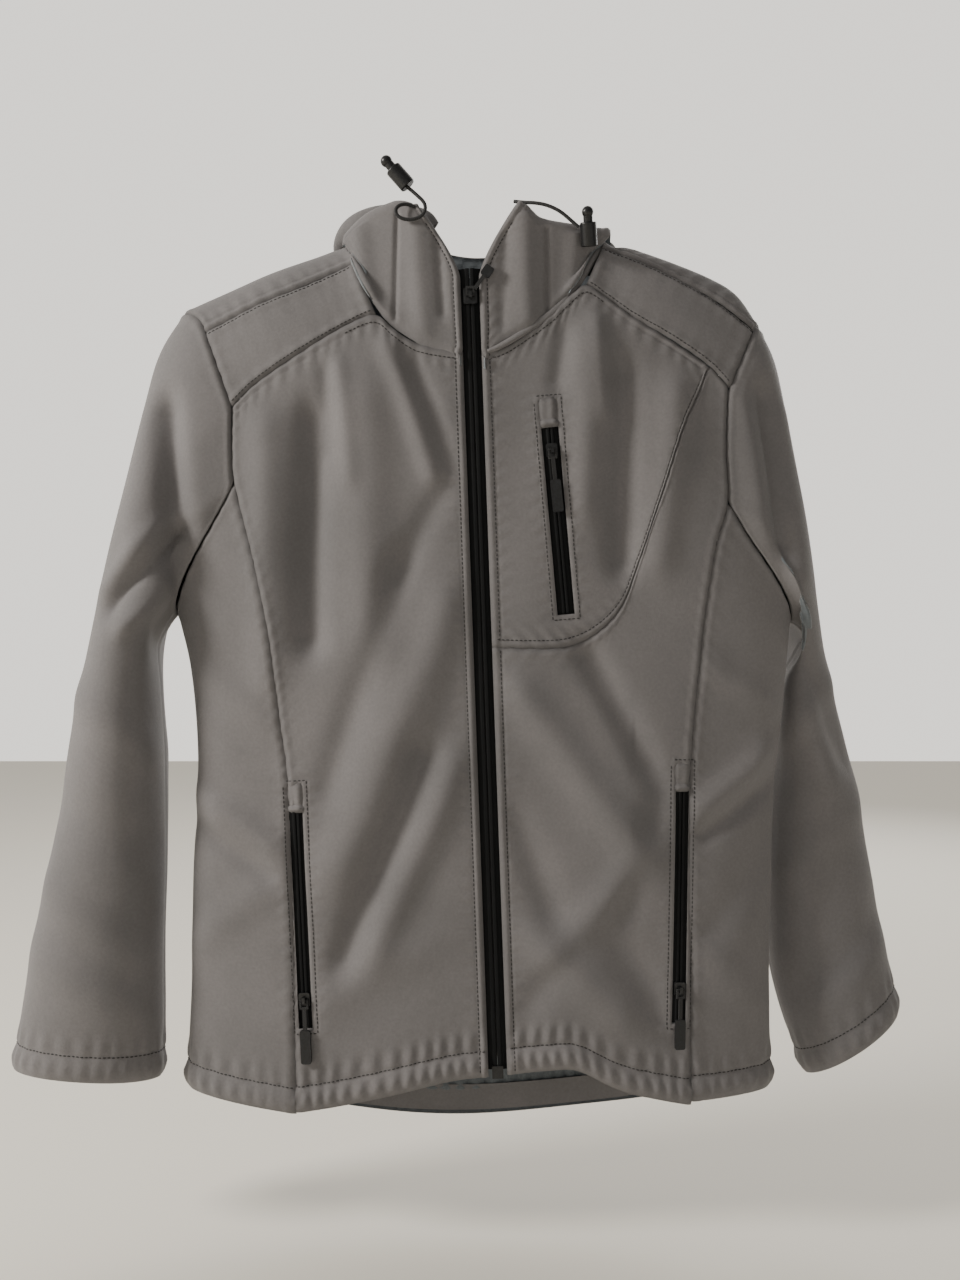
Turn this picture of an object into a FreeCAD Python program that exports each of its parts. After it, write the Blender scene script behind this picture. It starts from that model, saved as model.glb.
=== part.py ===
import FreeCAD, Part
import math
import os

# A hip-length hooded soft-shell jacket, zipped up and hung by the loop at its back neck.
# Frame: +Z up, the front faces -Y, +X is the wearer's left, origin in the gap of the hang loop.
# All sizes are millimetres.

V = FreeCAD.Vector
OUT = "parts"
os.makedirs(OUT, exist_ok=True)

# ---- driving dimensions ---------------------------------------------------------------------
cloth = 1.2              # fabric with its fleece back
seam_gap = 1.0           # between the edges of two sewn panels
front_depth = 47.0       # from the shoulder line forward to the chest
back_depth = 45.0        # from the shoulder line back to the shoulder blades
ridge_y = -38.0          # the shoulder line's place in depth
shoulder_start = -150.0  # height where the body starts to close over the shoulders
round_across = 2.6       # how square the body's section is
round_up = 3.0           # how square the shoulders are
zip_top_z = -20.0
zip_top_x = -6.2
zip_length = 628.0       # teeth, top stop to box
zip_lean = 0.0356        # sideways drift of the zip for each millimetre down
zip_slot_half = 7.5      # centre line to the edge of each front
chest_zip_length = 148.0
right_hand_zip_length = 171.0
left_hand_zip_length = 185.0
pocket_slot_half = 7.0
sleeve_bend_at = 0.5     # share of the sleeve above its elbow
cuff_facing_height = 26.0
hem_facing_height = 26.0
hood_drop = 200.0        # how far the hood hangs down behind the back
cord_diameter = 3.0
loop_width = 44.0
loop_gap = 7.0
ribbon = 1.2

# ---- outlines, each a smooth line through a few points ---------------------------------------
right_half_width = [(-720, 247), (-600, 240), (-500, 238), (-410, 234), (-330, 240), (-277, 252),
                    (-200, 262), (120, 262)]
left_half_width = [(-720, 248), (-600, 244), (-500, 246), (-420, 249), (-340, 257), (-282, 262),
                   (-200, 268), (120, 268)]
shoulder_line = [(-262, -44), (-245, -31), (-186, -5), (-122, 19), (-105, 28), (-80, 70), (-40, 105),
                 (0, 110), (40, 105), (80, 70), (105, 27), (128, 21), (163, 10), (195, -4), (216, -18),
                 (236, -45), (262, -70)]
right_armhole = [(-280, -252), (-256, -233), (-231, -218), (-204, -207), (-178, -201), (-140, -200),
                 (-113, -201), (-77, -210), (-52, -224), (-31, -244)]
left_armhole = [(-284, 258), (-262, 242), (-246, 227), (-218, 212), (-193, 206), (-167, 203),
                (-142, 200), (-98, 207), (-66, 219), (-52, 229), (-45, 235)]
right_princess = [(-720, -147), (-592, -148), (-423, -154), (-367, -161), (-303, -168), (-240, -181),
                  (-176, -198), (-150, -200), (-113, -200)]
left_princess = [(-720, 174), (-566, 173), (-463, 172), (-409, 173), (-338, 179), (-282, 185),
                 (-226, 194), (-195, 203), (-150, 202), (-100, 204)]
right_front_top = [(-201, -116), (-181, -97), (-134, -67), (-96, -46), (-81, -43), (-68, -54),
                   (-53, -64), (-37, -69), (0, -74)]
left_front_top = [(0, -74), (20, -69), (41, -56), (60, -42), (73, -29), (87, -18), (102, -26),
                  (124, -42), (158, -62), (190, -84), (205, -100)]
right_shoulder_seam = [(-224, -52), (-184, -33), (-152, -20), (-120, -6), (-101, 2)]
left_shoulder_seam = [(103, 17), (126, 8), (161, -8), (193, -25), (228, -50)]
right_hem = [(-250, -676), (-215, -686), (-174, -689), (-146, -688), (-82, -675), (-22, -661), (10, -657)]
left_hem = [(20, -656), (57, -652), (80, -652), (111, -667), (132, -674), (191, -684), (250, -676)]
back_hem = [(-250, -676), (-170, -700), (-80, -716), (0, -719), (100, -710), (170, -698), (250, -676)]
chest_seam = [(12, -311), (41, -312), (69, -311), (87, -305), (104, -293), (117, -277), (126, -256),
              (146, -194), (165, -135), (188, -94), (206, -103)]
right_yoke_foot = (-200, -82)
left_yoke_foot = (88, 205)
right_armpit = (-290.0, -187.0)  # side panel's lowest and highest top edge
left_armpit = (-294.0, -203.0)
hem_at_side = -676.0
right_shoulder_tip = 246.0
left_shoulder_tip = 236.0
ridge_share = 0.35               # share of the way over the shoulder to its ridge
yoke_back_edge = 201.0
back_yoke_seam_z = -120.0
back_seam = [(-720, 165), (-300, 165), (-235, 176), (-180, 199), (-120, 201)]
neck_back_z = 12.0
neck_half = 104.0
yoke_gap = 0.6

# Sleeve rings from the armhole to the cuff: outer x and z, inner x and z, half depth, mid depth,
# inward swell.
right_sleeve_rings = [(-246, -31, -249, -277, 36, -38, 44), (-270, -76, -262, -296, 40, -38, 30),
                      (-292, -165, -268, -312, 44, -38, 12), (-318, -275, -266, -345, 46, -38, 0),
                      (-334, -355, -262, -400, 45, -38, 0), (-348, -433, -262, -460, 43, -38, 0),
                      (-362, -510, -262, -525, 40, -40, 0), (-377, -592, -262, -598, 38, -42, 0),
                      (-389, -660, -263, -668, 34, -44, 0)]
left_sleeve_rings = [(237, -45, 260, -284, 36, -38, -44), (250, -84, 266, -298, 40, -30, -30),
                     (272, -172, 268, -312, 44, -14, -12), (292, -271, 262, -345, 46, -2, 0),
                     (306, -339, 256, -395, 45, 4, 0), (327, -421, 250, -452, 43, 5, 0),
                     (340, -490, 249, -515, 40, 3, 0), (351, -565, 254, -590, 38, -4, 0),
                     (363, -622, 280, -676, 34, -12, 0)]


def smooth(points, t):
    """Value at t on a smooth line through (t, value) points in rising order, level past both ends."""
    if t <= points[0][0]:
        return points[0][1]
    if t >= points[-1][0]:
        return points[-1][1]
    k = max(i for i in range(len(points) - 1) if points[i][0] <= t)

    def slope(i):
        low = max(i - 1, 0)
        high = min(i + 1, len(points) - 1)
        return (points[high][1] - points[low][1]) / (points[high][0] - points[low][0])

    width = points[k + 1][0] - points[k][0]
    s = (t - points[k][0]) / width
    rise = points[k + 1][1] - points[k][1]
    start = slope(k) * width
    end = slope(k + 1) * width
    return points[k][1] + s * start + s * s * (3 * rise - 2 * start - end) + s ** 3 * (start + end - 2 * rise)


def mix(a, b, s):
    return a + (b - a) * s


def zip_x(z):
    return zip_top_x - zip_lean * (z - zip_top_z)


def half_width(x, z):
    return smooth(right_half_width if x < 0 else left_half_width, z)


def depth_share(x, z):
    """1 at the middle of the chest, falling to 0 at the side and over the shoulder."""
    across = max(0.0, 1 - (abs(x) / half_width(x, z)) ** round_across) ** (1 / round_across)
    top = smooth(shoulder_line, x)
    rise = max(0.0, z - shoulder_start) / max(1.0, top - shoulder_start)
    return across * max(0.0, 1 - min(1.0, rise) ** round_up) ** (1 / round_up)


def front(x, z, inset=0.0):
    """Point of the front, moved inward by inset along depth."""
    return V(x, ridge_y - max(0.0, front_depth * depth_share(x, z) - inset), z)


def back(x, z, inset=0.0):
    return V(x, ridge_y + max(0.0, back_depth * depth_share(x, z) - inset), z)


def side_angle(x, z):
    """Angle round the body from its side to the place at x."""
    return math.acos(min(1.0, (abs(x) / half_width(x, z)) ** (round_across / 2)))


def ring_point(side, angle, z, inset=0.0):
    """Point of the body's side: angle 0 at the side, positive to the front, negative to the back."""
    half = half_width(side, z) - inset
    x = side * half * math.cos(angle) ** (2 / round_across)
    share = math.sin(abs(angle)) ** (2 / round_across)
    depth = (front_depth if angle > 0 else back_depth) - inset
    return V(x, ridge_y + (-depth if angle > 0 else depth) * share, z)


def skin(grid):
    """Smooth face drawn over a net of points, of degree 2 both ways, so it never swings outside the net."""
    knots = []
    mults = []
    for count in (len(grid), len(grid[0])):
        inner_knots = count - 3
        knots.append(list(range(inner_knots + 2)))
        mults.append([3] + [1] * inner_knots + [3])
    surface = Part.BSplineSurface()
    surface.buildFromPolesMultsKnots(grid, mults[0], mults[1], knots[0], knots[1], False, False, 2, 2)
    return surface


def sheet(outer, inner):
    """Closed solid between two nets of points: a smooth face over each and a ruled face round the edge."""
    surfaces = [skin(outer), skin(inner)]
    faces = [surface.toShape() for surface in surfaces]
    edges = []
    for surface in surfaces:
        u0, u1, v0, v1 = surface.bounds()
        edges.append([surface.uIso(u0), surface.uIso(u1), surface.vIso(v0), surface.vIso(v1)])
    for a, b in zip(*edges):
        faces.append(Part.makeRuledSurface(a.toShape(), b.toShape()))
    shell = Part.makeShell(faces)
    shell.sewShape()
    solid = Part.Solid(shell)
    if solid.Volume < 0:
        solid.reverse()
    return solid


def patch(point, across, down, thick=cloth, start=0.0):
    """Thin solid from point(u, v, inset): outer face at inset start, inner face at start + thick."""
    grids = []
    for inset in (start, start + thick):
        grids.append([[point(i / across, j / down, inset) for j in range(down + 1)]
                      for i in range(across + 1)])
    return sheet(*grids)


def save(name, shape):
    solids = shape.Solids
    if not solids or not all(s.isValid() for s in solids):
        print("BAD SOLID", name, len(solids))
    shape.exportStep(OUT + "/" + name + ".step")
    box = shape.BoundBox
    print("%-28s %9.1f mm3  x %7.1f %7.1f  y %6.1f %6.1f  z %7.1f %7.1f" % (
        name, shape.Volume, box.XMin, box.XMax, box.YMin, box.YMax, box.ZMin, box.ZMax))


# ---- body panels -----------------------------------------------------------------------------
def crossing(edge_x, side, table, u):
    """Height where the line at share u, from the outer edge to the zip, meets an outline."""
    z = -100.0
    for _ in range(8):
        z = smooth(table, mix(edge_x(z), zip_x(z) + side * zip_slot_half, u))
    return z


def front_panel_point(edge_x, top, hem, side, u, v, inset):
    """Front panel: u from the side seam to the zip, v from the top edge down to the hem."""
    z_low = smooth(hem, mix(edge_x(-700), zip_x(-650) + side * zip_slot_half, u))
    z = mix(crossing(edge_x, side, top, u) - seam_gap, z_low, v)
    return front(mix(edge_x(z), zip_x(z) + side * zip_slot_half, u), z, inset)


def right_edge(z):
    return smooth(right_princess, z) + seam_gap / 2


def left_edge(z):
    return smooth(left_princess, z) - seam_gap / 2


def chest_edge(z):
    return chest_seam[-2][0] - seam_gap


def right_front(u, v, inset):
    return front_panel_point(right_edge, right_front_top, right_hem, -1, u, v, inset)


def left_front(u, v, inset):
    return front_panel_point(left_edge, chest_seam, left_hem, 1, u, v, inset)


def left_chest(u, v, inset):
    """Chest panel: from the yoke seam and neckline down to the curved seam."""
    z_top = crossing(chest_edge, 1, left_front_top, u) - seam_gap
    z_low = min(crossing(chest_edge, 1, chest_seam, u), z_top - 6.0)
    z = mix(z_top, z_low, v)
    return front(mix(chest_edge(z), zip_x(z) + zip_slot_half, u), z, inset)


def yoke(upper, lower, low_x, u, v, inset):
    """Front of a shoulder: u along its seams, v from the shoulder seam down to the chest seam."""
    x_upper = mix(upper[0][0], upper[-1][0], u)
    x_lower = mix(low_x[0], low_x[1], u)
    z = mix(smooth(upper, x_upper) - yoke_gap, smooth(lower, x_lower) + yoke_gap, v)
    return front(mix(x_upper, x_lower, v), z, inset)


def right_yoke(u, v, inset):
    return yoke(right_shoulder_seam, right_front_top, right_yoke_foot, u, v, inset)


def left_yoke(u, v, inset):
    return yoke(left_shoulder_seam, left_front_top, left_yoke_foot, u, v, inset)


def side_panel(side, u, v, inset):
    """Side panel: u from the princess seam round the side to the back seam, v down to the hem."""
    princess = right_princess if side < 0 else left_princess
    armpit, top = right_armpit if side < 0 else left_armpit
    turn = abs(2 * u - 1) ** 1.6
    z_top = armpit + (top - armpit) * turn - seam_gap
    end = smooth(right_hem if side < 0 else left_hem, side * 160)
    if u > 0.5:
        end = smooth(back_hem, side * back_seam[0][1])
    z_low = mix(end, hem_at_side, 1 - turn)
    z = mix(z_top, z_low, v)
    first = side_angle(smooth(princess, z) + side * seam_gap / 2, z)
    last = -side_angle(side * (smooth(back_seam, z) + 2 * seam_gap), z)
    return ring_point(side, mix(first, last, u), z, inset)


def back_point(u, v, inset):
    z_low = smooth(back_hem, mix(-1, 1, u) * back_seam[0][1])
    z = mix(back_yoke_seam_z - seam_gap, z_low, v)
    return back(mix(-1, 1, u) * smooth(back_seam, z), z, inset)


def over_shoulder(side, u, v, inset):
    """Back yoke over one shoulder: u from the armhole to the neck, v from the front seam to the back."""
    seam = right_shoulder_seam if side < 0 else left_shoulder_seam
    tip = right_shoulder_tip if side < 0 else left_shoulder_tip
    seam_outer = abs(seam[0][0] if side < 0 else seam[-1][0])
    seam_inner = abs(seam[-1][0] if side < 0 else seam[0][0])
    outer = smooth([(0.0, seam_outer), (ridge_share, tip), (1.0, yoke_back_edge)], v)
    x = side * mix(outer, mix(seam_inner, neck_half, min(1.0, v / ridge_share)), u)
    top = smooth(shoulder_line, x)
    height = top - shoulder_start
    first = math.acos(min(1.0, (smooth(seam, x) + yoke_gap - shoulder_start) / height) ** (round_up / 2))
    last = -math.acos(((back_yoke_seam_z - shoulder_start) / height) ** (round_up / 2))
    angle = first * (1 - v / ridge_share)
    if v > ridge_share:
        angle = last * (v - ridge_share) / (1 - ridge_share)
    z = shoulder_start + (height - inset) * math.cos(angle) ** (2 / round_up)
    across = max(0.0, 1 - (abs(x) / half_width(x, z)) ** round_across) ** (1 / round_across)
    depth = (front_depth if angle > 0 else back_depth) * across - inset
    swing = math.sin(abs(angle)) ** (2 / round_up) * max(depth, 0.0)
    return V(x, ridge_y + (-swing if angle > 0 else swing), z)


def yoke_centre(u, v, inset):
    x = mix(-neck_half, neck_half, u) * (1 - seam_gap / neck_half)
    return back(x, mix(neck_back_z, back_yoke_seam_z, v), inset)


# ---- a zip in its own frame: origin at the top of the teeth, -Z down, -Y outward ---------------
teeth_gap = 1.0
tooth_thick = 2.6
tape_thick = 0.6
slider_play = 0.35
slider_depth = 6.4
pin_radius = 0.8
pin_hole = 1.15
bail_out = 1.9
slot_end = 4.0
tape_above = 14.0
garage_height = 20.0


def block(x0, x1, y0, y1, z0, z1):
    return Part.makeBox(x1 - x0, y1 - y0, z1 - z0, V(x0, y0, z0))


def rounded(x0, x1, y0, y1, z0, z1, radius):
    shape = block(x0, x1, y0, y1, z0, z1)
    upright = []
    for edge in shape.Edges:
        box = edge.BoundBox
        if abs(box.YLength - (y1 - y0)) < 1e-6 and box.XLength < 1e-6 and box.ZLength < 1e-6:
            upright.append(edge)
    return shape.makeFillet(radius, upright)


def zip_strands(teeth_width, length):
    strands = []
    for side in (-1, 1):
        xs = sorted((side * teeth_gap / 2, side * teeth_width / 2))
        strands.append(block(xs[0], xs[1], -tooth_thick / 2, tooth_thick / 2, -length, 0))
    return strands


def zip_tapes(teeth_width, tape_width, length, above, below):
    tapes = []
    for side in (-1, 1):
        xs = sorted((side * teeth_width / 2, side * tape_width))
        tapes.append(block(xs[0], xs[1], -tape_thick / 2, tape_thick / 2, -length - below, above))
    return tapes


def zip_slider(teeth_width, width, length, drop):
    """Two plates joined by a post between the strands, with a bail for the pull; drop is its place
    below the top."""
    body = rounded(-width / 2, width / 2, -slider_depth / 2, slider_depth / 2, -drop - length, -drop, 1.6)
    reach = 2 * length
    half_across = teeth_width / 2 + slider_play
    half_deep = tooth_thick / 2 + slider_play
    channel = block(-half_across, half_across, -half_deep, half_deep, -drop - reach, -drop + reach)
    slits = block(-width, width, -tape_thick / 2 - slider_play, tape_thick / 2 + slider_play,
                  -drop - reach, -drop + reach)
    body = body.cut(channel.fuse(slits))
    post_half = teeth_gap / 2 - 0.2
    post = block(-post_half, post_half, -slider_depth / 2 + 0.5, slider_depth / 2 - 0.5,
                 -drop - 0.75 * length, -drop - 0.25 * length)
    face = -slider_depth / 2
    bail = block(-1.3, 1.3, face - bail_out - pin_hole - 0.8, face + 0.4, -drop - length / 2 - 2.4,
                 -drop - length / 2 + 2.4)
    hole = Part.makeCylinder(pin_hole, 6, V(-3, face - bail_out, -drop - length / 2), V(1, 0, 0))
    return body.fuse([post, bail]).cut(hole).removeSplitter()


def pull_link(pin, down=-1):
    """Pin through the bail with two arms and a cross bar, reaching down or up from the pin."""
    rod = Part.makeCylinder(pin_radius, 7.0, pin - V(3.5, 0, 0), V(1, 0, 0))
    arms = []
    for side in (-1, 1):
        xs = sorted((side * 2.1, side * 3.5))
        zs = sorted((0, down * 7.0))
        arms.append(block(xs[0], xs[1], -pin_radius, pin_radius, zs[0], zs[1]).translate(pin))
    zs = sorted((down * 5.4, down * 7.0))
    arms.append(block(-3.5, 3.5, -pin_radius, pin_radius, zs[0], zs[1]).translate(pin))
    return rod.fuse(arms).removeSplitter()


def placed(shape, place):
    moved = shape.copy()
    moved.Placement = place.multiply(moved.Placement)
    return moved


def zip_place(top, bottom, across):
    """Placement of a zip whose teeth run from top to bottom, its X as near across as square allows."""
    up = (top - bottom).normalize()
    inward = up.cross(across).normalize()
    side = inward.cross(up)
    return FreeCAD.Placement(top, FreeCAD.Rotation(side, inward, up, "ZXY"))


tape_inset = cloth + 0.9
slider_size = {"main": (11.0, 13.0), "pocket": (9.0, 11.0)}
teeth_size = {"main": 6.0, "pocket": 4.4}


def build_zip(name, kind, length, line, tape_width, below, pull, apart):
    """Tapes, strands, slider and pull of one zip; pull is (drop, way, cord length, grip length,
    half width, lean)."""
    place = zip_place(*line)
    teeth = teeth_size[kind]
    width, tall = slider_size[kind]
    drop, way, cord_length, grip_length, grip_half, lean = pull
    tapes = [placed(t, place) for t in zip_tapes(teeth, tape_width, length, tape_above, below)]
    strands = [placed(s, place) for s in zip_strands(teeth, length)]
    if apart:
        for side, tape, strand in zip(("right", "left"), tapes, strands):
            save(name + "_tape_" + side, tape)
            save(name + "_teeth_" + side, strand)
    else:
        save(name + "_tape", Part.makeCompound(tapes))
        save(name + "_coil", Part.makeCompound(strands))
    save(name + "_slider", placed(zip_slider(teeth, width, tall, drop), place))
    pin = V(0, -slider_depth / 2 - bail_out, -drop - tall / 2)
    start = 7.0 * way
    turn = FreeCAD.Placement(pin, FreeCAD.Rotation(V(0, 1, 0), lean), V(0, 0, 0))
    zs = sorted((start - 0.8 * way, start + way * cord_length))
    cord = placed(block(-1.5, 1.5, -0.8, 0.8, zs[0], zs[1]), turn)
    zs = sorted((start + way * cord_length, start + way * (cord_length + grip_length)))
    grip = placed(rounded(-grip_half, grip_half, -1.2, 1.2, zs[0], zs[1], grip_half * 0.4), turn)
    save(name + "_pull", placed(pull_link(pin, way).fuse(cord).removeSplitter(), place))
    save(name + "_grip", placed(grip, place))
    axis = place.Rotation.multVec(V(1, 0, 0))
    centre = place.multVec(pin)
    down = (line[1] - line[0]).normalize()
    print("JOINT %s slide %.6f %.6f %.6f pin %.4f %.4f %.4f axis %.6f %.6f %.6f travel %.1f" % (
        name, down.x, down.y, down.z, centre.x, centre.y, centre.z, axis.x, axis.y, axis.z,
        length - drop - tall - 4.0))


def slot_tool(line, length, low, high):
    """Prism that opens a panel for a zip, from low to high across it."""
    return placed(block(low, high, -8, 8, -length - slot_end, garage_height + 1.0), zip_place(*line))


def front_line(x0, z0, x1, z1, length):
    """Ends of a zip set behind the fabric of the front, length apart, with the direction across it."""
    start = front(x0, z0, tape_inset)
    end = front(x1, z1, tape_inset)
    end = start + (end - start).normalize() * length
    middle_x = (x0 + x1) / 2
    middle_z = (z0 + z1) / 2
    across = (front(middle_x + 8, middle_z) - front(middle_x - 8, middle_z)).normalize()
    return start, end, across


main_start = V(zip_x(zip_top_z), ridge_y - front_depth + tape_inset, zip_top_z)
main_down = V(zip_lean, 0, -1).normalize()
main_line = (main_start, main_start + main_down * zip_length, V(1, 0, 0))
chest_line = front_line(58, -133, 71, -281, chest_zip_length)
right_hand_line = front_line(-147, -444, -138.5, -615, right_hand_zip_length)
left_hand_line = front_line(166, -427, 163, -612, left_hand_zip_length)

# ---- panels with their pocket slots ----------------------------------------------------------
right_hand_slot = slot_tool(right_hand_line, right_hand_zip_length, -16.0, pocket_slot_half)
left_hand_slot = slot_tool(left_hand_line, left_hand_zip_length, -pocket_slot_half, 16.0)
chest_slot = slot_tool(chest_line, chest_zip_length, -pocket_slot_half, pocket_slot_half)
save("right_front_panel", patch(right_front, 22, 14).cut(right_hand_slot))
save("left_front_panel", patch(left_front, 24, 14).cut(left_hand_slot))
save("left_chest_panel", patch(left_chest, 24, 10).cut(chest_slot))
save("right_shoulder_yoke", patch(right_yoke, 10, 4))
save("left_shoulder_yoke", patch(left_yoke, 10, 4))
save("right_side_panel", patch(lambda u, v, i: side_panel(-1, u, v, i), 18, 12))
save("left_side_panel", patch(lambda u, v, i: side_panel(1, u, v, i), 18, 12))
save("back_panel", patch(back_point, 16, 12))
save("back_yoke", Part.makeCompound([patch(lambda u, v, i: over_shoulder(-1, u, v, i), 10, 14),
                                     patch(yoke_centre, 10, 8),
                                     patch(lambda u, v, i: over_shoulder(1, u, v, i), 10, 14)]))

# ---- zips --------------------------------------------------------------------------------------
main_tape = (14.0, 3.0)    # width of each tape and how far it runs below the teeth
pocket_tape = (11.0, 4.0)
main_pull = (2.0, 1, 12.0, 9.0, 4.0, 38.0)
chest_pull = (14.0, -1, 17.0, 26.0, 4.2, -1.0)
right_hand_pull = (146.0, -1, 17.0, 27.0, 4.2, 0.0)
left_hand_pull = (155.0, -1, 17.0, 24.0, 4.2, 0.0)
build_zip("main_zip", "main", zip_length, main_line, *main_tape, main_pull, True)
build_zip("chest_zip", "pocket", chest_zip_length, chest_line, *pocket_tape, chest_pull, False)
build_zip("right_hand_zip", "pocket", right_hand_zip_length, right_hand_line, *pocket_tape,
          right_hand_pull, False)
build_zip("left_hand_zip", "pocket", left_hand_zip_length, left_hand_line, *pocket_tape,
          left_hand_pull, False)
main_place = zip_place(*main_line)
box_half = 4.5
box_tall = 10.0
box_depth_half = 2.2
zip_box = block(-box_half, box_half, -box_depth_half, box_depth_half, -zip_length - box_tall, -zip_length)
for low, high in ((-box_half, -teeth_size["main"] / 2), (teeth_size["main"] / 2, box_half)):
    zip_box = zip_box.cut(block(low, high, -tape_thick / 2, tape_thick / 2,
                                -zip_length - box_tall, -zip_length))
save("main_zip_box", placed(zip_box, main_place))
flap_y = slider_depth / 2 + 1.0
flap_low = -22.0
flap_high = 18.0
flap = rounded(flap_low, flap_high, flap_y, flap_y + cloth, -zip_length + 6, 2, 6.0)
save("storm_flap", placed(flap, main_place))

# ---- pockets: garages over the top of each zip, bags behind --------------------------------------
bag_clear = 8.5
bag_thick = 2.4


def pocket(name, line, bag, garage_low, garage_high):
    """Bag behind the front, bag = (low x, high x, top z, bottom z), and the garage over the zip."""
    low, high, top, bottom = bag
    save(name + "_bag", patch(lambda u, v, i: front(mix(low, high, u), mix(top, bottom, v), i), 6, 6,
                              bag_thick, bag_clear))
    garage = rounded(garage_low, garage_high, -tape_inset - 0.2, -tape_thick / 2 - 0.2,
                     0.3, garage_height, 1.0)
    save(name + "_garage", placed(garage, zip_place(*line)))


chest_bag = (24, 166, -104, -302)
right_hand_bag = (-160, -26, -410, -628)
left_hand_bag = (54, 182, -392, -612)
pocket("chest_pocket", chest_line, chest_bag, -6.4, 6.4)
pocket("right_hand_pocket", right_hand_line, right_hand_bag, -4.0, 6.4)
pocket("left_hand_pocket", left_hand_line, left_hand_bag, -6.4, 6.0)

# ---- hem facings, folded up inside ---------------------------------------------------------------
facing_clear = cloth + 0.5
facing_thick = 0.8
front_height = 620.0
high_share = 1 - hem_facing_height / front_height


def facing(panel, low, high):
    def point(u, v, inset):
        return panel(mix(low, high, u), mix(high_share, 0.997, v), inset)

    return patch(point, 8, 2, facing_thick, facing_clear)


save("hem_facing", Part.makeCompound([facing(right_front, 0.14, 0.88), facing(left_front, 0.14, 0.86),
                                      facing(back_point, 0.02, 0.98)]))

# ---- hang loop and label inside the back neck ------------------------------------------------------
loop_back = back(0, 0, cloth + 0.2).y
loop_high = 3.0
loop_leg = 5.0
loop_front = loop_back - loop_gap - ribbon
strap = block(-loop_width / 2, loop_width / 2, loop_front, loop_back - loop_gap, -loop_high, loop_high)
ends = [block(x, x + loop_leg, loop_front, loop_back - 0.3, -loop_high, loop_high)
        for x in (-loop_width / 2, loop_width / 2 - loop_leg)]
save("hang_loop", strap.fuse(ends).removeSplitter())
save("neck_label", block(-20, 20, loop_back - 1.2, loop_back - 0.5, -38, -14))
print("LOOP", loop_back, "gap", loop_back - loop_gap, loop_back)

# ---- hood ------------------------------------------------------------------------------------------
right_hood_low = [(-106, 20), (-99, -1), (-91, -20), (-81, -38), (-68, -50), (-53, -60), (-37, -66),
                  (0, -71)]
right_hood_high = [(-120, 20), (-115, 38), (-106, 48), (-88, 52), (-60, 53), (-38, 50), (-20, 34)]
left_hood_low = [(0, -71), (20, -66), (41, -53), (60, -39), (73, -26), (83, -12), (95, 12), (103, 22)]
left_hood_high = [(14, 34), (32, 44), (45, 38), (65, 28), (96, 26), (110, 30)]
hood_rise = 1.0
hood_round = 128.0       # half the width of the hood's round in plan
hood_edge_gap = 0.5
right_hood_top = -38.0   # where each side's top edge starts, beside the zip
left_hood_top = 33.0
collar_open_z = -13.0    # the collar's edges part above this height
collar_open_rise = 47.0
collar_open_out = 24.0


def hood_y(x, inset):
    return ridge_y - math.sqrt(max(0.0, 1 - (x / hood_round) ** 2)) * (front_depth + hood_rise - inset)


def hood_point(side, u, v, inset):
    """Hood side: u from the zip edge outward, v from the neckline up."""
    low = right_hood_low if side < 0 else left_hood_low
    high = right_hood_high if side < 0 else left_hood_high
    top_start = right_hood_top if side < 0 else left_hood_top
    edge_half = zip_slot_half + hood_edge_gap
    x_low = mix(zip_x(-70) + side * edge_half, low[0][0] if side < 0 else low[-1][0], u)
    x_high = mix(top_start, high[0][0] if side < 0 else high[-1][0], u)
    z = mix(smooth(low, x_low) + yoke_gap, smooth(high, x_high), v)
    x = mix(x_low, x_high, v)
    spread = max(0.0, z - collar_open_z) / collar_open_rise
    edge = zip_x(z) + side * (edge_half + collar_open_out * spread ** 1.3)
    x += (1 - u) ** 2 * (edge - mix(x_low, top_start, v))
    return V(x, hood_y(x, inset), z)


save("right_hood_panel", patch(lambda u, v, i: hood_point(-1, u, v, i), 12, 8))
save("left_hood_panel", patch(lambda u, v, i: hood_point(1, u, v, i), 12, 8))

hood_seat = V(0, 14.0, 24.0)


def hood_back_point(u, v, inset):
    """Hanging back of the hood: a bag from the top of the neck down behind the yoke, u round it,
    v down it."""
    half = smooth([(0.0, 92), (0.35, 112), (0.7, 104), (0.9, 78), (1.0, 50)], v) - inset
    angle = math.pi * u
    z = mix(hood_seat.z + 22, hood_seat.z - hood_drop, v) + (10 + 12 * v) * math.sin(angle) * (1 - v)
    depth = smooth([(0.0, 26), (0.3, 38), (0.7, 32), (1.0, 14)], v) - inset
    return V(-half * math.cos(angle), hood_seat.y + depth * math.sin(angle) ** 0.8, z)


save("hood_back", patch(hood_back_point, 14, 10))

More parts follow.
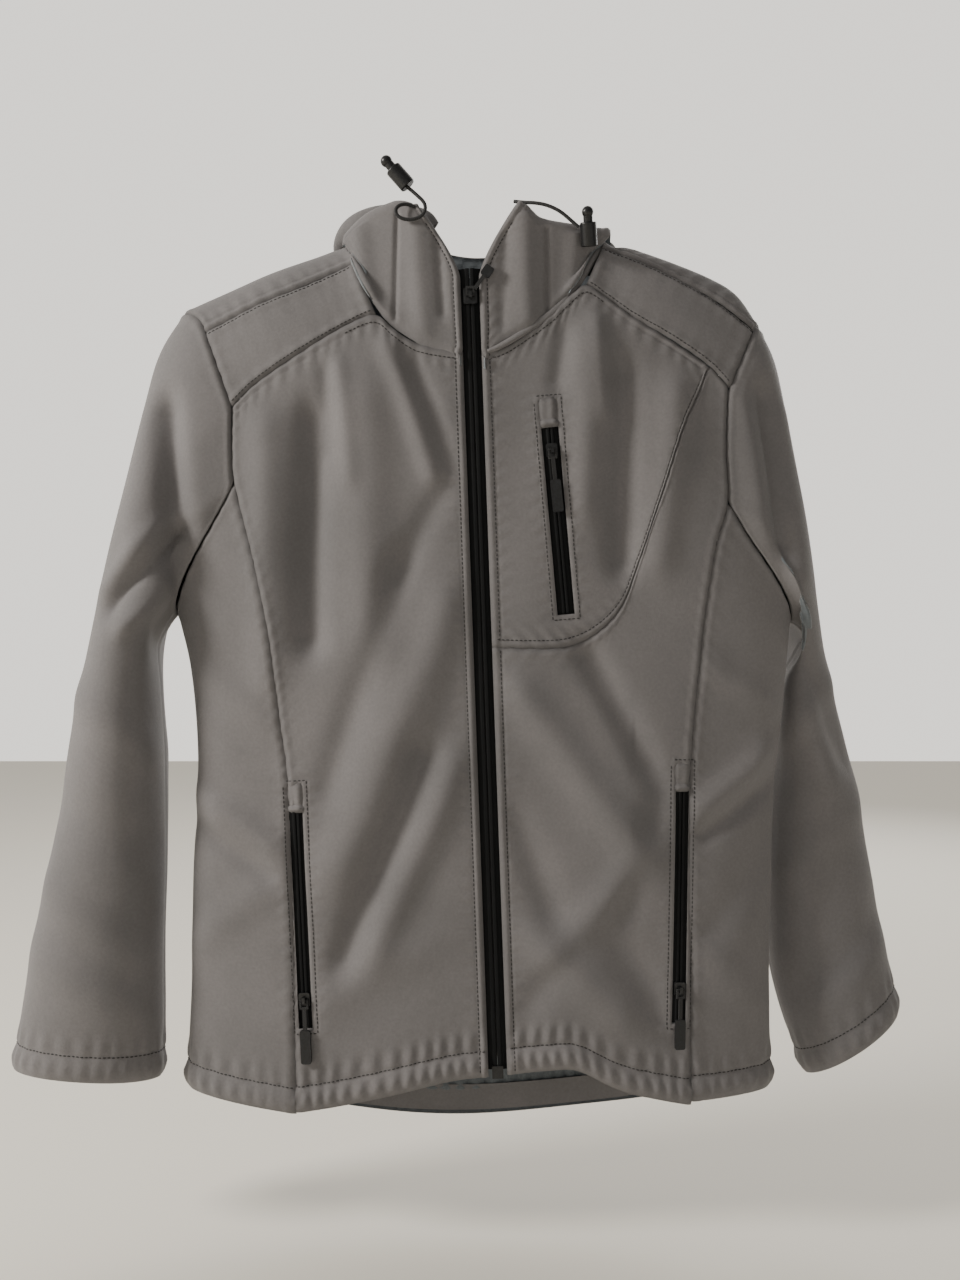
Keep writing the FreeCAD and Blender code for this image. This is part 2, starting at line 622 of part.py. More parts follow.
# ---- tubes of cord -----------------------------------------------------------------------------------
def tube(points, radius):
    """Round tube of straight runs joined by tangent arcs, each as large as its two runs allow."""
    pieces = []
    start = points[0]
    radii = []
    for before, corner, after in zip(points, points[1:], points[2:]):
        into = (corner - before).normalize()
        out = (after - corner).normalize()
        turn = into.getAngle(out)
        setback = 0.45 * min((corner - before).Length, (after - corner).Length)
        bend = setback / math.tan(turn / 2)
        radii.append(bend)
        enter = corner - into * setback
        leave = corner + out * setback
        to_centre = (out - into).normalize()
        middle = corner + to_centre * (bend / math.cos(turn / 2) - bend)
        pieces.append(Part.LineSegment(start, enter).toShape())
        pieces.append(Part.Arc(enter, middle, leave).toShape())
        start = leave
    pieces.append(Part.LineSegment(start, points[-1]).toShape())
    wire = Part.Wire(pieces)
    ring = Part.Wire(Part.Circle(points[0], points[1] - points[0], radius).toShape())
    solid = wire.makePipeShell([ring], True, False, 2)
    print("CORD length %.1f radii %s volume/section*length %.3f" % (
        wire.Length, [round(r, 1) for r in radii], solid.Volume / (math.pi * radius ** 2 * wire.Length)))
    return solid


right_cord_route = [V(-50, -84.6, 43), V(-57, -86.0, 46), V(-66, -88.0, 42), V(-65, -88.5, 34),
                    V(-54, -88.0, 31), V(-43, -88.0, 35), V(-41, -88.5, 44), V(-49, -88.0, 52),
                    V(-56.5, -87.0, 58.5)]
left_cord_route = [V(30, -72, 52), V(38, -78, 49), V(46, -82, 47.5), V(56, -84, 45), V(66, -85, 40),
                   V(74, -84.5, 33.5), V(81.5, -84, 27)]
save("right_drawcord", tube(right_cord_route, cord_diameter / 2))
save("left_drawcord", tube(left_cord_route, cord_diameter / 2))

# ---- cord locks: barrel, spring and plunger, each along its own axis -----------------------------------
lock_length = 19.0
lock_radius = 6.6
plunger_radius = 3.8
lock_wall_end = 3.0
lock_rim = 1.2
plunger_play = 0.3
plunger_inside = 7.0     # how much of the plunger stands in the barrel
ball_radius = plunger_radius + 0.9
ball_out = 7.6           # the ball's centre beyond the barrel's mouth
spring_length = 5.0
spring_wire = 1.0


def turned_plunger(foot, up):
    """Plunger turned in one piece: a round stem running into a ball, about its own axis."""
    neck = plunger_inside + ball_out - math.sqrt(ball_radius ** 2 - plunger_radius ** 2)
    middle = plunger_inside + ball_out
    stem = Part.makePolygon([V(0, 0, 0), V(plunger_radius, 0, 0), V(plunger_radius, 0, neck)])
    ball = Part.Arc(V(plunger_radius, 0, neck), V(ball_radius, 0, middle), V(0, 0, middle + ball_radius))
    axis = Part.makeLine(V(0, 0, middle + ball_radius), V(0, 0, 0))
    face = Part.Face(Part.Wire(stem.Edges + [ball.toShape(), axis]))
    solid = face.revolve(V(0, 0, 0), V(0, 0, 1), 360)
    return placed(solid, FreeCAD.Placement(foot, FreeCAD.Rotation(V(0, 0, 1), up)))


def lock(name, centre, press_way):
    """Barrel closed at its foot; the plunger slides in from the open end on a spring; the cord ends
    at its wall."""
    up = press_way.normalize()
    foot = centre - up * lock_length / 2
    barrel = Part.makeCylinder(lock_radius, lock_length, foot, up)
    rim = barrel.Edges
    barrel = barrel.makeFillet(lock_rim, [e for e in rim if e.Length > 2 * lock_radius * 3])
    bore = Part.makeCylinder(plunger_radius + plunger_play, lock_length, foot + up * lock_wall_end, up)
    barrel = barrel.cut(bore)
    save(name + "_barrel", barrel)
    save(name + "_plunger", turned_plunger(centre + up * (lock_length / 2 - plunger_inside), up))
    seat = foot + up * (lock_wall_end + plunger_play)
    coil_outer = Part.makeCylinder(plunger_radius - 2 * plunger_play, spring_length, seat, up)
    coil_inner = Part.makeCylinder(plunger_radius - 2 * plunger_play - spring_wire, spring_length, seat, up)
    print("LOCK", name, [round(c, 5) for c in up], "centre", [round(c, 3) for c in centre])
    return coil_outer.cut(coil_inner)


springs = [lock("right_lock", V(-61.8, -86.0, 66.5), V(-8, 0, 9)),
           lock("left_lock", V(89.5, -83.5, 21.5), V(-1, -4, 12))]
save("lock_springs", Part.makeCompound(springs))

# ---- sleeves: one tube each, cut at the elbow, in a front half and a back half ---------------------------
def sleeve_point(rings, place, turn, inset):
    """Point of a sleeve: place 0 at the armhole to 1 at the cuff, turn 0 at the outer line, 0.25 front,
    0.5 inner."""
    count = len(rings) - 1
    values = [smooth([(k, ring[n]) for k, ring in enumerate(rings)], place * count) for n in range(7)]
    outer = V(values[0], 0, values[1])
    inner = V(values[2], 0, values[3])
    centre = (outer + inner) * 0.5
    half = outer - centre
    long = half.Length - inset
    along = V(half).normalize()
    angle = 2 * math.pi * turn
    point = centre + along * long * math.cos(angle)
    swell = values[6] * math.sin(angle) ** 2
    point = point + V(swell, 0, 0)
    depth = (values[4] - inset) * math.sin(angle)
    return V(point.x, values[5] - depth, point.z)


def sleeve_tube(rings, low, high, across, down, thick=cloth, start=0.0):
    halves = []
    for first in (0.0, 0.5):
        halves.append(patch(lambda u, v, i: sleeve_point(rings, mix(low, high, v), first + u * 0.5, i),
                            across, down, thick, start))
    return Part.makeCompound(halves)


armhole_share = 0.016
elbow_share = 0.003
sleeve_length = 650.0
cuff_share = 1 - cuff_facing_height / sleeve_length
for name, rings in (("right", right_sleeve_rings), ("left", left_sleeve_rings)):
    save(name + "_upper_sleeve", sleeve_tube(rings, armhole_share, sleeve_bend_at - elbow_share, 14, 10))
    save(name + "_forearm_sleeve", sleeve_tube(rings, sleeve_bend_at + elbow_share, 1.0, 14, 8))
    save(name + "_cuff_facing", sleeve_tube(rings, cuff_share, 0.998, 14, 2, facing_thick, cloth + 0.6))
    for share in (0.0, sleeve_bend_at):
        places = [sleeve_point(rings, share, t, 0) for t in (0, 0.25, 0.5, 0.75)]
        print("SLEEVE", name, share, [[round(c, 2) for c in p] for p in places])
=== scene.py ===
import bpy
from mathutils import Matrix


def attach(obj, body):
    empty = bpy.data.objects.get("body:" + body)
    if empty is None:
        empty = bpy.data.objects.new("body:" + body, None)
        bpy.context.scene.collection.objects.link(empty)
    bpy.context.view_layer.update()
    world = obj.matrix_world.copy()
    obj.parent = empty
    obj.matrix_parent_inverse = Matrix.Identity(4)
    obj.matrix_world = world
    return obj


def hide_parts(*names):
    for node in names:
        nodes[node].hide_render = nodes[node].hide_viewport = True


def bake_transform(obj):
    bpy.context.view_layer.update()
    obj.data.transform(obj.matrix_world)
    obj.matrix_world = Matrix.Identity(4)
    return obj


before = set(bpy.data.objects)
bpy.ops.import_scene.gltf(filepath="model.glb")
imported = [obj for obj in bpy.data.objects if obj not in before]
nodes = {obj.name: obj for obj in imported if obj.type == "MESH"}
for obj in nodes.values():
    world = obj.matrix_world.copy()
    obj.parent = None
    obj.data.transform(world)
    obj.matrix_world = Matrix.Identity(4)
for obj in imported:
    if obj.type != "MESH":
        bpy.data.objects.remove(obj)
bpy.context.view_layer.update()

import bpy
import math
import numpy as np
from mathutils import Vector


# ---- camera and studio ---------------------------------------------------------------------------
# The jacket hangs facing -Y. The camera stands a little over a metre in front of it at mid height,
# and soft lamps stand at its upper left, with a weak one opposite and a pale floor below.
camera = bpy.data.objects.new("camera", bpy.data.cameras.new("camera"))
camera.data.lens = 35.0
camera.data.sensor_width = 36.0
camera.location = (0.002, -1.085, -0.305)
camera.rotation_euler = (math.pi / 2, 0.0, 0.0)
bpy.context.scene.collection.objects.link(camera)
bpy.context.scene.camera = camera


def linear(code):
    """Linear RGBA of an sRGB hex colour."""
    parts = np.array([int(code[k:k + 2], 16) for k in (1, 3, 5)]) / 255.0
    low = parts / 12.92
    high = ((parts + 0.055) / 1.055) ** 2.4
    return (*np.where(parts <= 0.04045, low, high), 1.0)


def add_node(tree, kind, inputs=(), **settings):
    """Adds one node; inputs maps each socket to a value or to the socket that feeds it."""
    new = tree.nodes.new(kind)
    for key, value in settings.items():
        setattr(new, key, value)
    for key, value in dict(inputs).items():
        if isinstance(value, bpy.types.NodeSocket):
            tree.links.new(value, new.inputs[key])
        else:
            new.inputs[key].default_value = value
    return new


def add_object(name, data):
    """Links a new object to the scene."""
    made = bpy.data.objects.new(name, data)
    bpy.context.scene.collection.objects.link(made)
    return made


def lamp(name, place, aim, size, power, colour):
    light = bpy.data.lights.new(name, "AREA")
    light.shape = "DISK"
    light.size = size
    light.energy = power
    light.color = linear(colour)[:3]
    holder = add_object(name, light)
    holder.location = place
    holder.rotation_euler = (Vector(aim) - Vector(place)).to_track_quat("-Z", "Y").to_euler()


lamp("key lamp", (-2.1, -0.75, 0.75), (0, 0, -0.34), 0.6, 58.0, "#fffaf2")
lamp("fill lamp", (1.4, -1.9, -0.6), (0, 0, -0.35), 1.6, 2.0, "#eef3ff")
lamp("back lamp", (0.9, 1.9, 0.8), (0, 0, -0.3), 1.6, 26.0, "#ffffff")
room = bpy.data.worlds.new("pale room")
room.use_nodes = True
sky = room.node_tree
looking = add_node(sky, "ShaderNodeTexCoord")
axes_of = add_node(sky, "ShaderNodeSeparateXYZ", {"Vector": looking.outputs["Generated"]})
behind = add_node(sky, "ShaderNodeMapRange", {"Value": axes_of.outputs["Y"], "From Min": -0.1,
                                              "From Max": 0.6,
                                              "To Min": 0.0, "To Max": 1.6})
from_left = add_node(sky, "ShaderNodeMapRange",
                     {"Value": axes_of.outputs["X"], "From Min": 0.9, "From Max": -0.9,
                                                 "To Min": 0.16, "To Max": 0.62})
level = add_node(sky, "ShaderNodeMath", {0: behind.outputs[0], 1: from_left.outputs[0]}, operation="MAXIMUM")
sky.links.new(level.outputs[0], sky.nodes["Background"].inputs["Strength"])
sky.nodes["Background"].inputs["Color"].default_value = linear("#efebe4")
bpy.context.scene.world = room

floor_mesh = bpy.data.meshes.new("floor")
floor_mesh.from_pydata([(-4, -4, -0.80), (4, -4, -0.80), (4, 4, -0.80), (-4, 4, -0.80)], [], [(0, 1, 2, 3)])
floor = add_object("floor", floor_mesh)
floor_paint = bpy.data.materials.new("matt painted board")
floor_paint.use_nodes = True
floor_paint.node_tree.nodes["Principled BSDF"].inputs["Base Color"].default_value = linear("#e6e1d6")
floor_paint.node_tree.nodes["Principled BSDF"].inputs["Roughness"].default_value = 0.8
floor_mesh.materials.append(floor_paint)


# ---- hood drawcords ------------------------------------------------------------------------------
# Two short ends of 3 mm braided polyester cord come out of the hood's front edge, loop and end in
# their cord locks. Polyester braid is matt, with a fine crossed plait that breaks up the highlight.
def new_material(name):
    """A material with nodes, its tree, its main shader and its texture coordinates."""
    made = bpy.data.materials.new(name)
    made.use_nodes = True
    tree = made.node_tree
    return made, tree, tree.nodes["Principled BSDF"], add_node(tree, "ShaderNodeTexCoord")


def bump_and_rough(tree, shader, height, strength, distance, rough=None):
    """Wires a bump to the shader and sets how rough it is."""
    bump = add_node(tree, "ShaderNodeBump", {"Height": height, "Strength": strength, "Distance": distance})
    tree.links.new(bump.outputs["Normal"], shader.inputs["Normal"])
    if rough is not None:
        shader.inputs["Roughness"].default_value = rough


def two_tones(tree, shader, factor, dark, light, low=0.0, high=1.0):
    """Wires a ramp between two colours to the shader."""
    shade = add_node(tree, "ShaderNodeValToRGB", {"Fac": factor})
    for element, colour, position in zip(shade.color_ramp.elements, (dark, light), (low, high)):
        element.color = linear(colour)
        element.position = position
    tree.links.new(shade.outputs["Color"], shader.inputs["Base Color"])


def braid_material():
    made, tree, shader, place = new_material("braided polyester cord")
    # plait of 0.9 mm strands, drawn as two crossed wave patterns
    one = add_node(tree, "ShaderNodeTexWave", {"Vector": place.outputs["Object"], "Scale": 330.0,
                                               "Distortion": 1.0}, bands_direction="DIAGONAL")
    two = add_node(tree, "ShaderNodeTexNoise", {"Vector": place.outputs["Object"], "Scale": 900.0})
    both = add_node(tree, "ShaderNodeMath", {0: one.outputs["Fac"], 1: two.outputs["Fac"]},
                    operation="MULTIPLY")
    two_tones(tree, shader, both.outputs[0], "#0b0b0c", "#2e2f32")
    bump_and_rough(tree, shader, both.outputs[0], 0.6, 0.0003, 0.72)
    shader.inputs["Sheen Weight"].default_value = 0.2
    return made


braid = braid_material()
cord_diameter = 0.003


def drawcord(name, node, route):
    """Round cord along one smooth spline, whose control points are the route's own points."""
    line = bpy.data.curves.new(name, "CURVE")
    line.dimensions = "3D"
    line.bevel_depth = cord_diameter / 2
    line.bevel_resolution = 4
    line.use_fill_caps = True
    spline = line.splines.new("NURBS")
    spline.points.add(len(route) - 1)
    for point, place in zip(spline.points, route):
        point.co = (*place, 1.0)
    spline.order_u = 3
    spline.use_endpoint_u = True
    spline.resolution_u = 14
    line.materials.append(braid)
    cord = add_object(name, line)
    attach(cord, "torso")
    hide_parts(node)


drawcord("right_hood_cord", "right_drawcord",
         [(-0.050, -0.0846, 0.043), (-0.057, -0.086, 0.046), (-0.066, -0.088, 0.042),
          (-0.065, -0.0885, 0.034), (-0.054, -0.088, 0.031), (-0.043, -0.088, 0.035),
          (-0.041, -0.0885, 0.044), (-0.049, -0.088, 0.052), (-0.0565, -0.087, 0.0585)])
drawcord("left_hood_cord", "left_drawcord",
         [(0.030, -0.072, 0.052), (0.038, -0.078, 0.049), (0.046, -0.082, 0.0475), (0.056, -0.084, 0.045),
          (0.066, -0.085, 0.040), (0.074, -0.0845, 0.0335), (0.0815, -0.084, 0.027)])


# ---- front panels --------------------------------------------------------------------------------
# Each front is one cut of soft shell: a tight plain-woven polyester face bonded to grey fleece,
# 1.2 mm thick together. It is sewn to its neighbours, turned under at the zip and topstitched.
cloth = 1.2
zip_half = 7.5
mid_y = -38.0
front_depth = 47.0
back_depth = 45.0
across_power = 2.6
shoulder_foot = -150.0
stitch_in = 6.5
hem_stitch_in = 21.5
hand_slot = 5.6
chest_slot = 7.0
right_half = [(-720, 247), (-600, 240), (-500, 238), (-410, 234), (-330, 240), (-277, 252), (-200, 262),
              (120, 262)]
left_half = [(-720, 248), (-600, 244), (-500, 246), (-420, 249), (-340, 257), (-282, 262), (-200, 268),
             (120, 268)]
shoulder_line = [(-262, -44), (-245, -31), (-186, -5), (-122, 19), (-105, 28), (-80, 70), (-40, 105),
                 (0, 110),
                 (40, 105), (80, 70), (105, 27), (128, 21), (163, 10), (195, -4), (216, -18), (236, -45),
                 (262, -70)]
right_princess = [(-720, -147), (-592, -148), (-423, -154), (-367, -161), (-303, -168), (-240, -181),
                  (-176, -198), (-150, -200), (-113, -200)]
left_princess = [(-720, 174), (-566, 173), (-463, 172), (-409, 173), (-338, 179), (-282, 185), (-226, 194),
                 (-195, 203), (-150, 202), (-100, 204)]
right_front_top = [(-201, -116), (-181, -97), (-134, -67), (-96, -46), (-81, -43), (-68, -54), (-53, -64),
                   (-37, -69), (0, -74)]
left_front_top = [(0, -74), (20, -69), (41, -56), (60, -42), (73, -29), (87, -18), (102, -26), (124, -42),
                  (158, -62), (190, -84), (205, -100)]
right_hem = [(-250, -676), (-215, -686), (-174, -689), (-146, -688), (-82, -675), (-22, -661), (10, -657)]
left_hem = [(20, -656), (57, -652), (80, -652), (111, -667), (132, -674), (191, -684), (250, -676)]
chest_seam = [(12, -311), (41, -312), (69, -311), (87, -305), (104, -293), (117, -277), (126, -256),
              (146, -194), (165, -135), (181, -101), (188, -83), (198, -92), (206, -101)]


def along(points, t):
    """Smooth line through (t, value) points: on each span a cubic whose end slopes are those of the
    chords between neighbours, level past both ends."""
    knots, values = np.array(points, float).T
    here = np.arange(len(knots))
    before = np.maximum(here - 1, 0)
    after = np.minimum(here + 1, len(knots) - 1)
    slope = (values[after] - values[before]) / (knots[after] - knots[before])
    t = np.clip(t, knots[0], knots[-1])
    k = np.clip(np.searchsorted(knots, t, side="right") - 1, 0, len(knots) - 2)
    width = knots[k + 1] - knots[k]
    s = (t - knots[k]) / width
    rise = values[k + 1] - values[k]
    a = slope[k] * width
    b = slope[k + 1] * width
    return values[k] + s * a + s * s * (3 * rise - 2 * a - b) + s ** 3 * (a + b - 2 * rise)


def unit_grid(count_u, count_v):
    """Two arrays of shares from 0 to 1, u down the rows and v along them."""
    return np.meshgrid(np.linspace(0, 1, count_u), np.linspace(0, 1, count_v), indexing="ij")


def running(points, axis=0):
    """Length along a line or a net of points, from its first point, the same shape as the points."""
    steps = np.linalg.norm(np.diff(points, axis=axis), axis=-1)
    return np.concatenate([np.zeros_like(np.take(steps, [0], axis)), np.cumsum(steps, axis)], axis)


def unit(vectors):
    return vectors / np.linalg.norm(vectors, axis=-1, keepdims=True)


def mix(a, b, s):
    return a + (b - a) * s


def zip_x(z):
    return -6.2 - 0.0356 * (z + 20.0)


def half_width(x, z):
    return np.where(x < 0, along(right_half, z), along(left_half, z))


def depth_share(x, z):
    """1 at mid chest falling to 0 at the side and the shoulder: a squared round of power 2.6 across,
    times one of power 3 up from the height where the shoulders begin."""
    across = np.maximum(0.0, 1 - (np.abs(x) / half_width(x, z)) ** across_power) ** (1 / across_power)
    top = along(shoulder_line, x)
    rise = np.clip(np.maximum(0.0, z - shoulder_foot) / np.maximum(1.0, top - shoulder_foot), 0, 1)
    return across * np.maximum(0.0, 1 - rise ** 3) ** (1 / 3)


def body_front(x, z, inset=0.0):
    return np.stack([x, mid_y - np.maximum(0.0, front_depth * depth_share(x, z) - inset), z], -1)


def ripple(s, pitch):
    """Uneven wave along s, about one crest each pitch, its phase drifting so no two are alike."""
    return np.sin(2 * np.pi * s / pitch + 1.7 * np.sin(s / 19.0) + 2.3 * np.sin(s / 41.0 + 1.0))


def folds(x, z, creases):
    """Sum of soft ridges and valleys: each a bell across its own line, fading out past both ends."""
    height = np.zeros(np.broadcast(x, z).shape)
    for x0, z0, x1, z1, width, rise in creases:
        length = math.hypot(x1 - x0, z1 - z0)
        a, b = (x1 - x0) / length, (z1 - z0) / length
        t = (x - x0) * a + (z - z0) * b
        d = (x - x0) * b - (z - z0) * a + 0.06 * width * np.sin(t / 23.0)
        past = np.maximum(0.0, np.maximum(-t, t - length))
        height += rise * np.exp(-(d / width) ** 2 - (past / (1.6 * width)) ** 2)
    return height


front_creases = [(-133, -130, -136, -300, 13, -10.0), (-172, -140, -170, -330, 15, 4.5),
                 (-92, -120, -86, -300, 22, 7.0), (-24, -285, -108, -480, 22, 8.0),
                 (-18, -410, -79, -547, 14, 6.0), (-46, -400, -108, -560, 12, -6.5),
                 (-62, -250, -120, -420, 13, -4.0),
                 (-71, -72, -36, -170, 9, 4.2), (-52, -84, -20, -160, 8, -4.0),
                 (-112, -90, -104, -170, 9, 3.2),
                 (-122, -92, -120, -150, 7, -3.0), (-30, -190, -66, -250, 11, -3.4),
                 (-236, -430, -168, -470, 12, 5.5), (-238, -455, -172, -496, 8, -4.0),
                 (-240, -560, -165, -500, 16, 3.0), (-130, -600, -60, -560, 18, 2.8),
                 (-226, -330, -176, -370, 12, 2.4),
                 (34, -350, 128, -470, 17, 6.4), (92, -322, 138, -404, 12, -7.0),
                 (52, -548, 112, -602, 18, 5.0),
                 (125, -490, 66, -556, 14, 4.6), (28, -450, 60, -520, 14, -4.0),
                 (117, -92, 117, -236, 12, -8.0),
                 (88, -70, 86, -190, 14, 4.6), (160, -112, 148, -232, 15, 5.6), (70, -60, 64, -98, 8, -3.2),
                 (96, -50, 104, -118, 8, 3.2), (120, -560, 160, -620, 14, -3.6),
                 (40, -600, 70, -560, 13, -3.0),
                 (150, -430, 120, -520, 13, -3.8), (236, -400, 182, -440, 12, 5.5),
                 (240, -425, 186, -462, 8, -4.0),
                 (240, -470, 190, -540, 14, -2.6),
                 (246, -360, 196, -330, 13, 2.8), (228, -600, 190, -560, 15, 2.4)]


# each pocket zip's top and foot: x, z, x, z
pocket_seats = [(58, -133, 71, -281), (-147, -444, -138.5, -615), (166, -427, 163, -612)]


def front_fold(x, z):
    """Folds of the fronts, held flat along the main zip and the stiff edges of the pockets, with a
    shallow drift so no area is quite even."""
    drift = 0.9 * np.sin(x / 31.0 + z / 47.0) + 0.6 * np.sin(x / 19.0 - z / 71.0 + 1.3)
    hold = 1 - np.exp(-((x - zip_x(z)) / 22.0) ** 2)
    for x0, z0, x1, z1 in pocket_seats:
        share = (z - z0) / (z1 - z0)
        beside = x - mix(x0, x1, np.clip(share, -0.2, 1.1))
        ends = np.clip((share + 0.25) / 0.1, 0, 1) * np.clip((1.15 - share) / 0.1, 0, 1)
        hold = hold * (1 - 0.85 * np.exp(-(beside / 13.0) ** 2) * ends)
    return (folds(x, z, front_creases) + drift) * hold


def seam_edge(d, s):
    """Sewn edge: drawn into the seam, a small puff beside it and light puckers."""
    return (-1.3 * np.exp(-(d / 1.7) ** 2) + 0.6 * np.exp(-((d - 4.5) / 3.0) ** 2)
            + 0.30 * np.exp(-d / 9.0) * ripple(s, 13.0))


def stitched_edge(d, s):
    """Sewn edge with a row of topstitching 6.5 mm in, which pulls a groove and stronger puckers."""
    return (seam_edge(d, s) - 0.9 * np.exp(-((d - stitch_in) / 1.2) ** 2)
            + 0.42 * np.exp(-((d - 10.0) / 7.0) ** 2) * ripple(s + 5.0, 11.5))


def zip_edge(d, s):
    """Edge turned under beside the zip, rounded over, with its stitching 6.5 mm in."""
    return (-1.6 * np.exp(-(d / 1.3) ** 2) + 0.9 * np.exp(-((d - 3.4) / 2.4) ** 2)
            - 0.7 * np.exp(-((d - stitch_in) / 1.0) ** 2)
            + 0.30 * np.exp(-((d - 10.0) / 6.0) ** 2) * ripple(s, 12.0))


def hem_edge(d, s):
    """Hem turned up round a cord tunnel: round at the fold, full below its stitching, gathered."""
    return (-2.4 * np.exp(-(d / 2.2) ** 2)
            + 2.0 * np.exp(-((d - 11.0) / 6.5) ** 2) * (1 + 0.55 * ripple(s, 11.0))
            - 1.3 * np.exp(-((d - hem_stitch_in) / 1.5) ** 2)
            + 1.0 * np.exp(-((d - 29.0) / 8.0) ** 2) * ripple(s + 3.0, 13.0))


def free_edge(d, s):
    return 0.0 * d


def shaped(net, edges, height=0.0, centre=(0.0, mid_y)):
    """Outer face of one cut piece. Each point of the net moves along its normal by the fold height
    plus what each edge's sewing gives at that distance from it. Returns the points, their normals,
    lengths along both ways, how near a seam each point is, and the net."""
    run_u, run_v = running(net, 0), running(net, 1)
    away = [run_u, run_u[-1:] - run_u, run_v, run_v[:, -1:] - run_v]
    total = np.zeros(net.shape[:2]) + height
    near = np.zeros(net.shape[:2])
    for kind, d, s in zip(edges, away, (run_v, run_v, run_u, run_u)):
        total = total + kind(d, s)
        if kind is not free_edge:
            near = np.maximum(near, np.exp(-(d / 2.4) ** 2))
    normal = outward(net, centre)
    points = net + normal * total[..., None]
    return points, outward(points, centre), run_u, run_v, near, net


def outward(net, centre):
    """Unit normals of a net, from the cross product of its two directions, turned away from a line
    that stands at the centre."""
    normal = np.cross(np.gradient(net, axis=0), np.gradient(net, axis=1))
    normal /= np.maximum(np.linalg.norm(normal, axis=2, keepdims=True), 1e-9)
    out = net[..., :2] - np.array(centre)
    facing = np.sign(np.sum(normal[..., :2] * out, -1).sum())
    return normal * (facing if facing else 1.0)


def softshell_material():
    """Woven polyester face: matt, a trace of sheen from the brushed yarn, mottled by use."""
    made, tree, shader, place = new_material("woven polyester soft shell")
    # threads lie 0.35 mm apart, drawn 0.9 mm apart so that they show
    warp = add_node(tree, "ShaderNodeTexWave",
                    {"Vector": place.outputs["UV"], "Scale": 350.0, "Distortion": 0.6,
                                                "Detail": 1.0}, bands_direction="X")
    weft = add_node(tree, "ShaderNodeTexWave",
                    {"Vector": place.outputs["UV"], "Scale": 350.0, "Distortion": 0.6,
                                                "Detail": 1.0}, bands_direction="Y")
    weave = add_node(tree, "ShaderNodeMath", {0: warp.outputs["Fac"], 1: weft.outputs["Fac"]},
                     operation="MULTIPLY")
    slub = add_node(tree, "ShaderNodeTexNoise",
                    {"Vector": place.outputs["Object"], "Scale": 420.0, "Detail": 3.0})
    broad = add_node(tree, "ShaderNodeTexNoise",
                     {"Vector": place.outputs["Object"], "Scale": 9.0, "Detail": 4.0,
                                                  "Roughness": 0.6})
    tone = add_node(tree, "ShaderNodeValToRGB", {"Fac": broad.outputs["Fac"]})
    tone.color_ramp.elements[0].position = 0.30
    tone.color_ramp.elements[1].position = 0.72
    tone.color_ramp.elements[0].color = linear("#6f6d6e")
    tone.color_ramp.elements[1].color = linear("#7e7b7c")
    grain = add_node(tree, "ShaderNodeMapRange",
                     {"Value": slub.outputs["Fac"], "From Min": 0.3, "From Max": 0.7,
                                                  "To Min": 0.93, "To Max": 1.06})
    threads = add_node(tree, "ShaderNodeMapRange",
                       {"Value": weave.outputs[0], "To Min": 0.94, "To Max": 1.05})
    fine = add_node(tree, "ShaderNodeMath", {0: grain.outputs[0], 1: threads.outputs[0]},
                    operation="MULTIPLY")
    # painted shade and dirt in the seams: the colour darkens to 0.72 of itself towards each seam's groove
    near = add_node(tree, "ShaderNodeAttribute", attribute_name="seam")
    seam_shade_and_dirt = add_node(tree, "ShaderNodeMapRange", {"Value": near.outputs["Fac"], "To Min": 1.0, "To Max": 0.72})
    shade = add_node(tree, "ShaderNodeMath", {0: fine.outputs[0], 1: seam_shade_and_dirt.outputs[0]}, operation="MULTIPLY")
    colour = add_node(tree, "ShaderNodeVectorMath", {0: tone.outputs["Color"], "Scale": shade.outputs[0]},
                      operation="SCALE")
    tree.links.new(colour.outputs["Vector"], shader.inputs["Base Color"])
    rough = add_node(tree, "ShaderNodeMapRange",
                     {"Value": broad.outputs["Fac"], "To Min": 0.68, "To Max": 0.88})
    tree.links.new(rough.outputs[0], shader.inputs["Roughness"])
    low = add_node(tree, "ShaderNodeBump", {"Height": slub.outputs["Fac"], "Strength": 0.28,
                                            "Distance": 0.0004})
    high = add_node(tree, "ShaderNodeBump", {"Height": weave.outputs[0], "Strength": 0.35, "Distance": 0.0003,
                                             "Normal": low.outputs["Normal"]})
    tree.links.new(high.outputs["Normal"], shader.inputs["Normal"])
    shader.inputs["Sheen Weight"].default_value = 0.18
    shader.inputs["Sheen Roughness"].default_value = 0.5
    shader.inputs["Specular IOR Level"].default_value = 0.32
    return made


def fleece_material():
    """Brushed micro-fleece: no gloss at all, short pile in soft clumps a few millimetres wide."""
    made, tree, shader, place = new_material("brushed micro fleece")
    clump = add_node(tree, "ShaderNodeTexNoise",
                     {"Vector": place.outputs["Object"], "Scale": 190.0, "Detail": 5.0,
                                                  "Roughness": 0.7})
    two_tones(tree, shader, clump.outputs["Fac"], "#44494d", "#7c8388")
    bump_and_rough(tree, shader, clump.outputs["Fac"], 0.7, 0.0012, 1.0)
    shader.inputs["Sheen Weight"].default_value = 0.6
    shader.inputs["Specular IOR Level"].default_value = 0.1
    return made


softshell = softshell_material()
fleece = fleece_material()


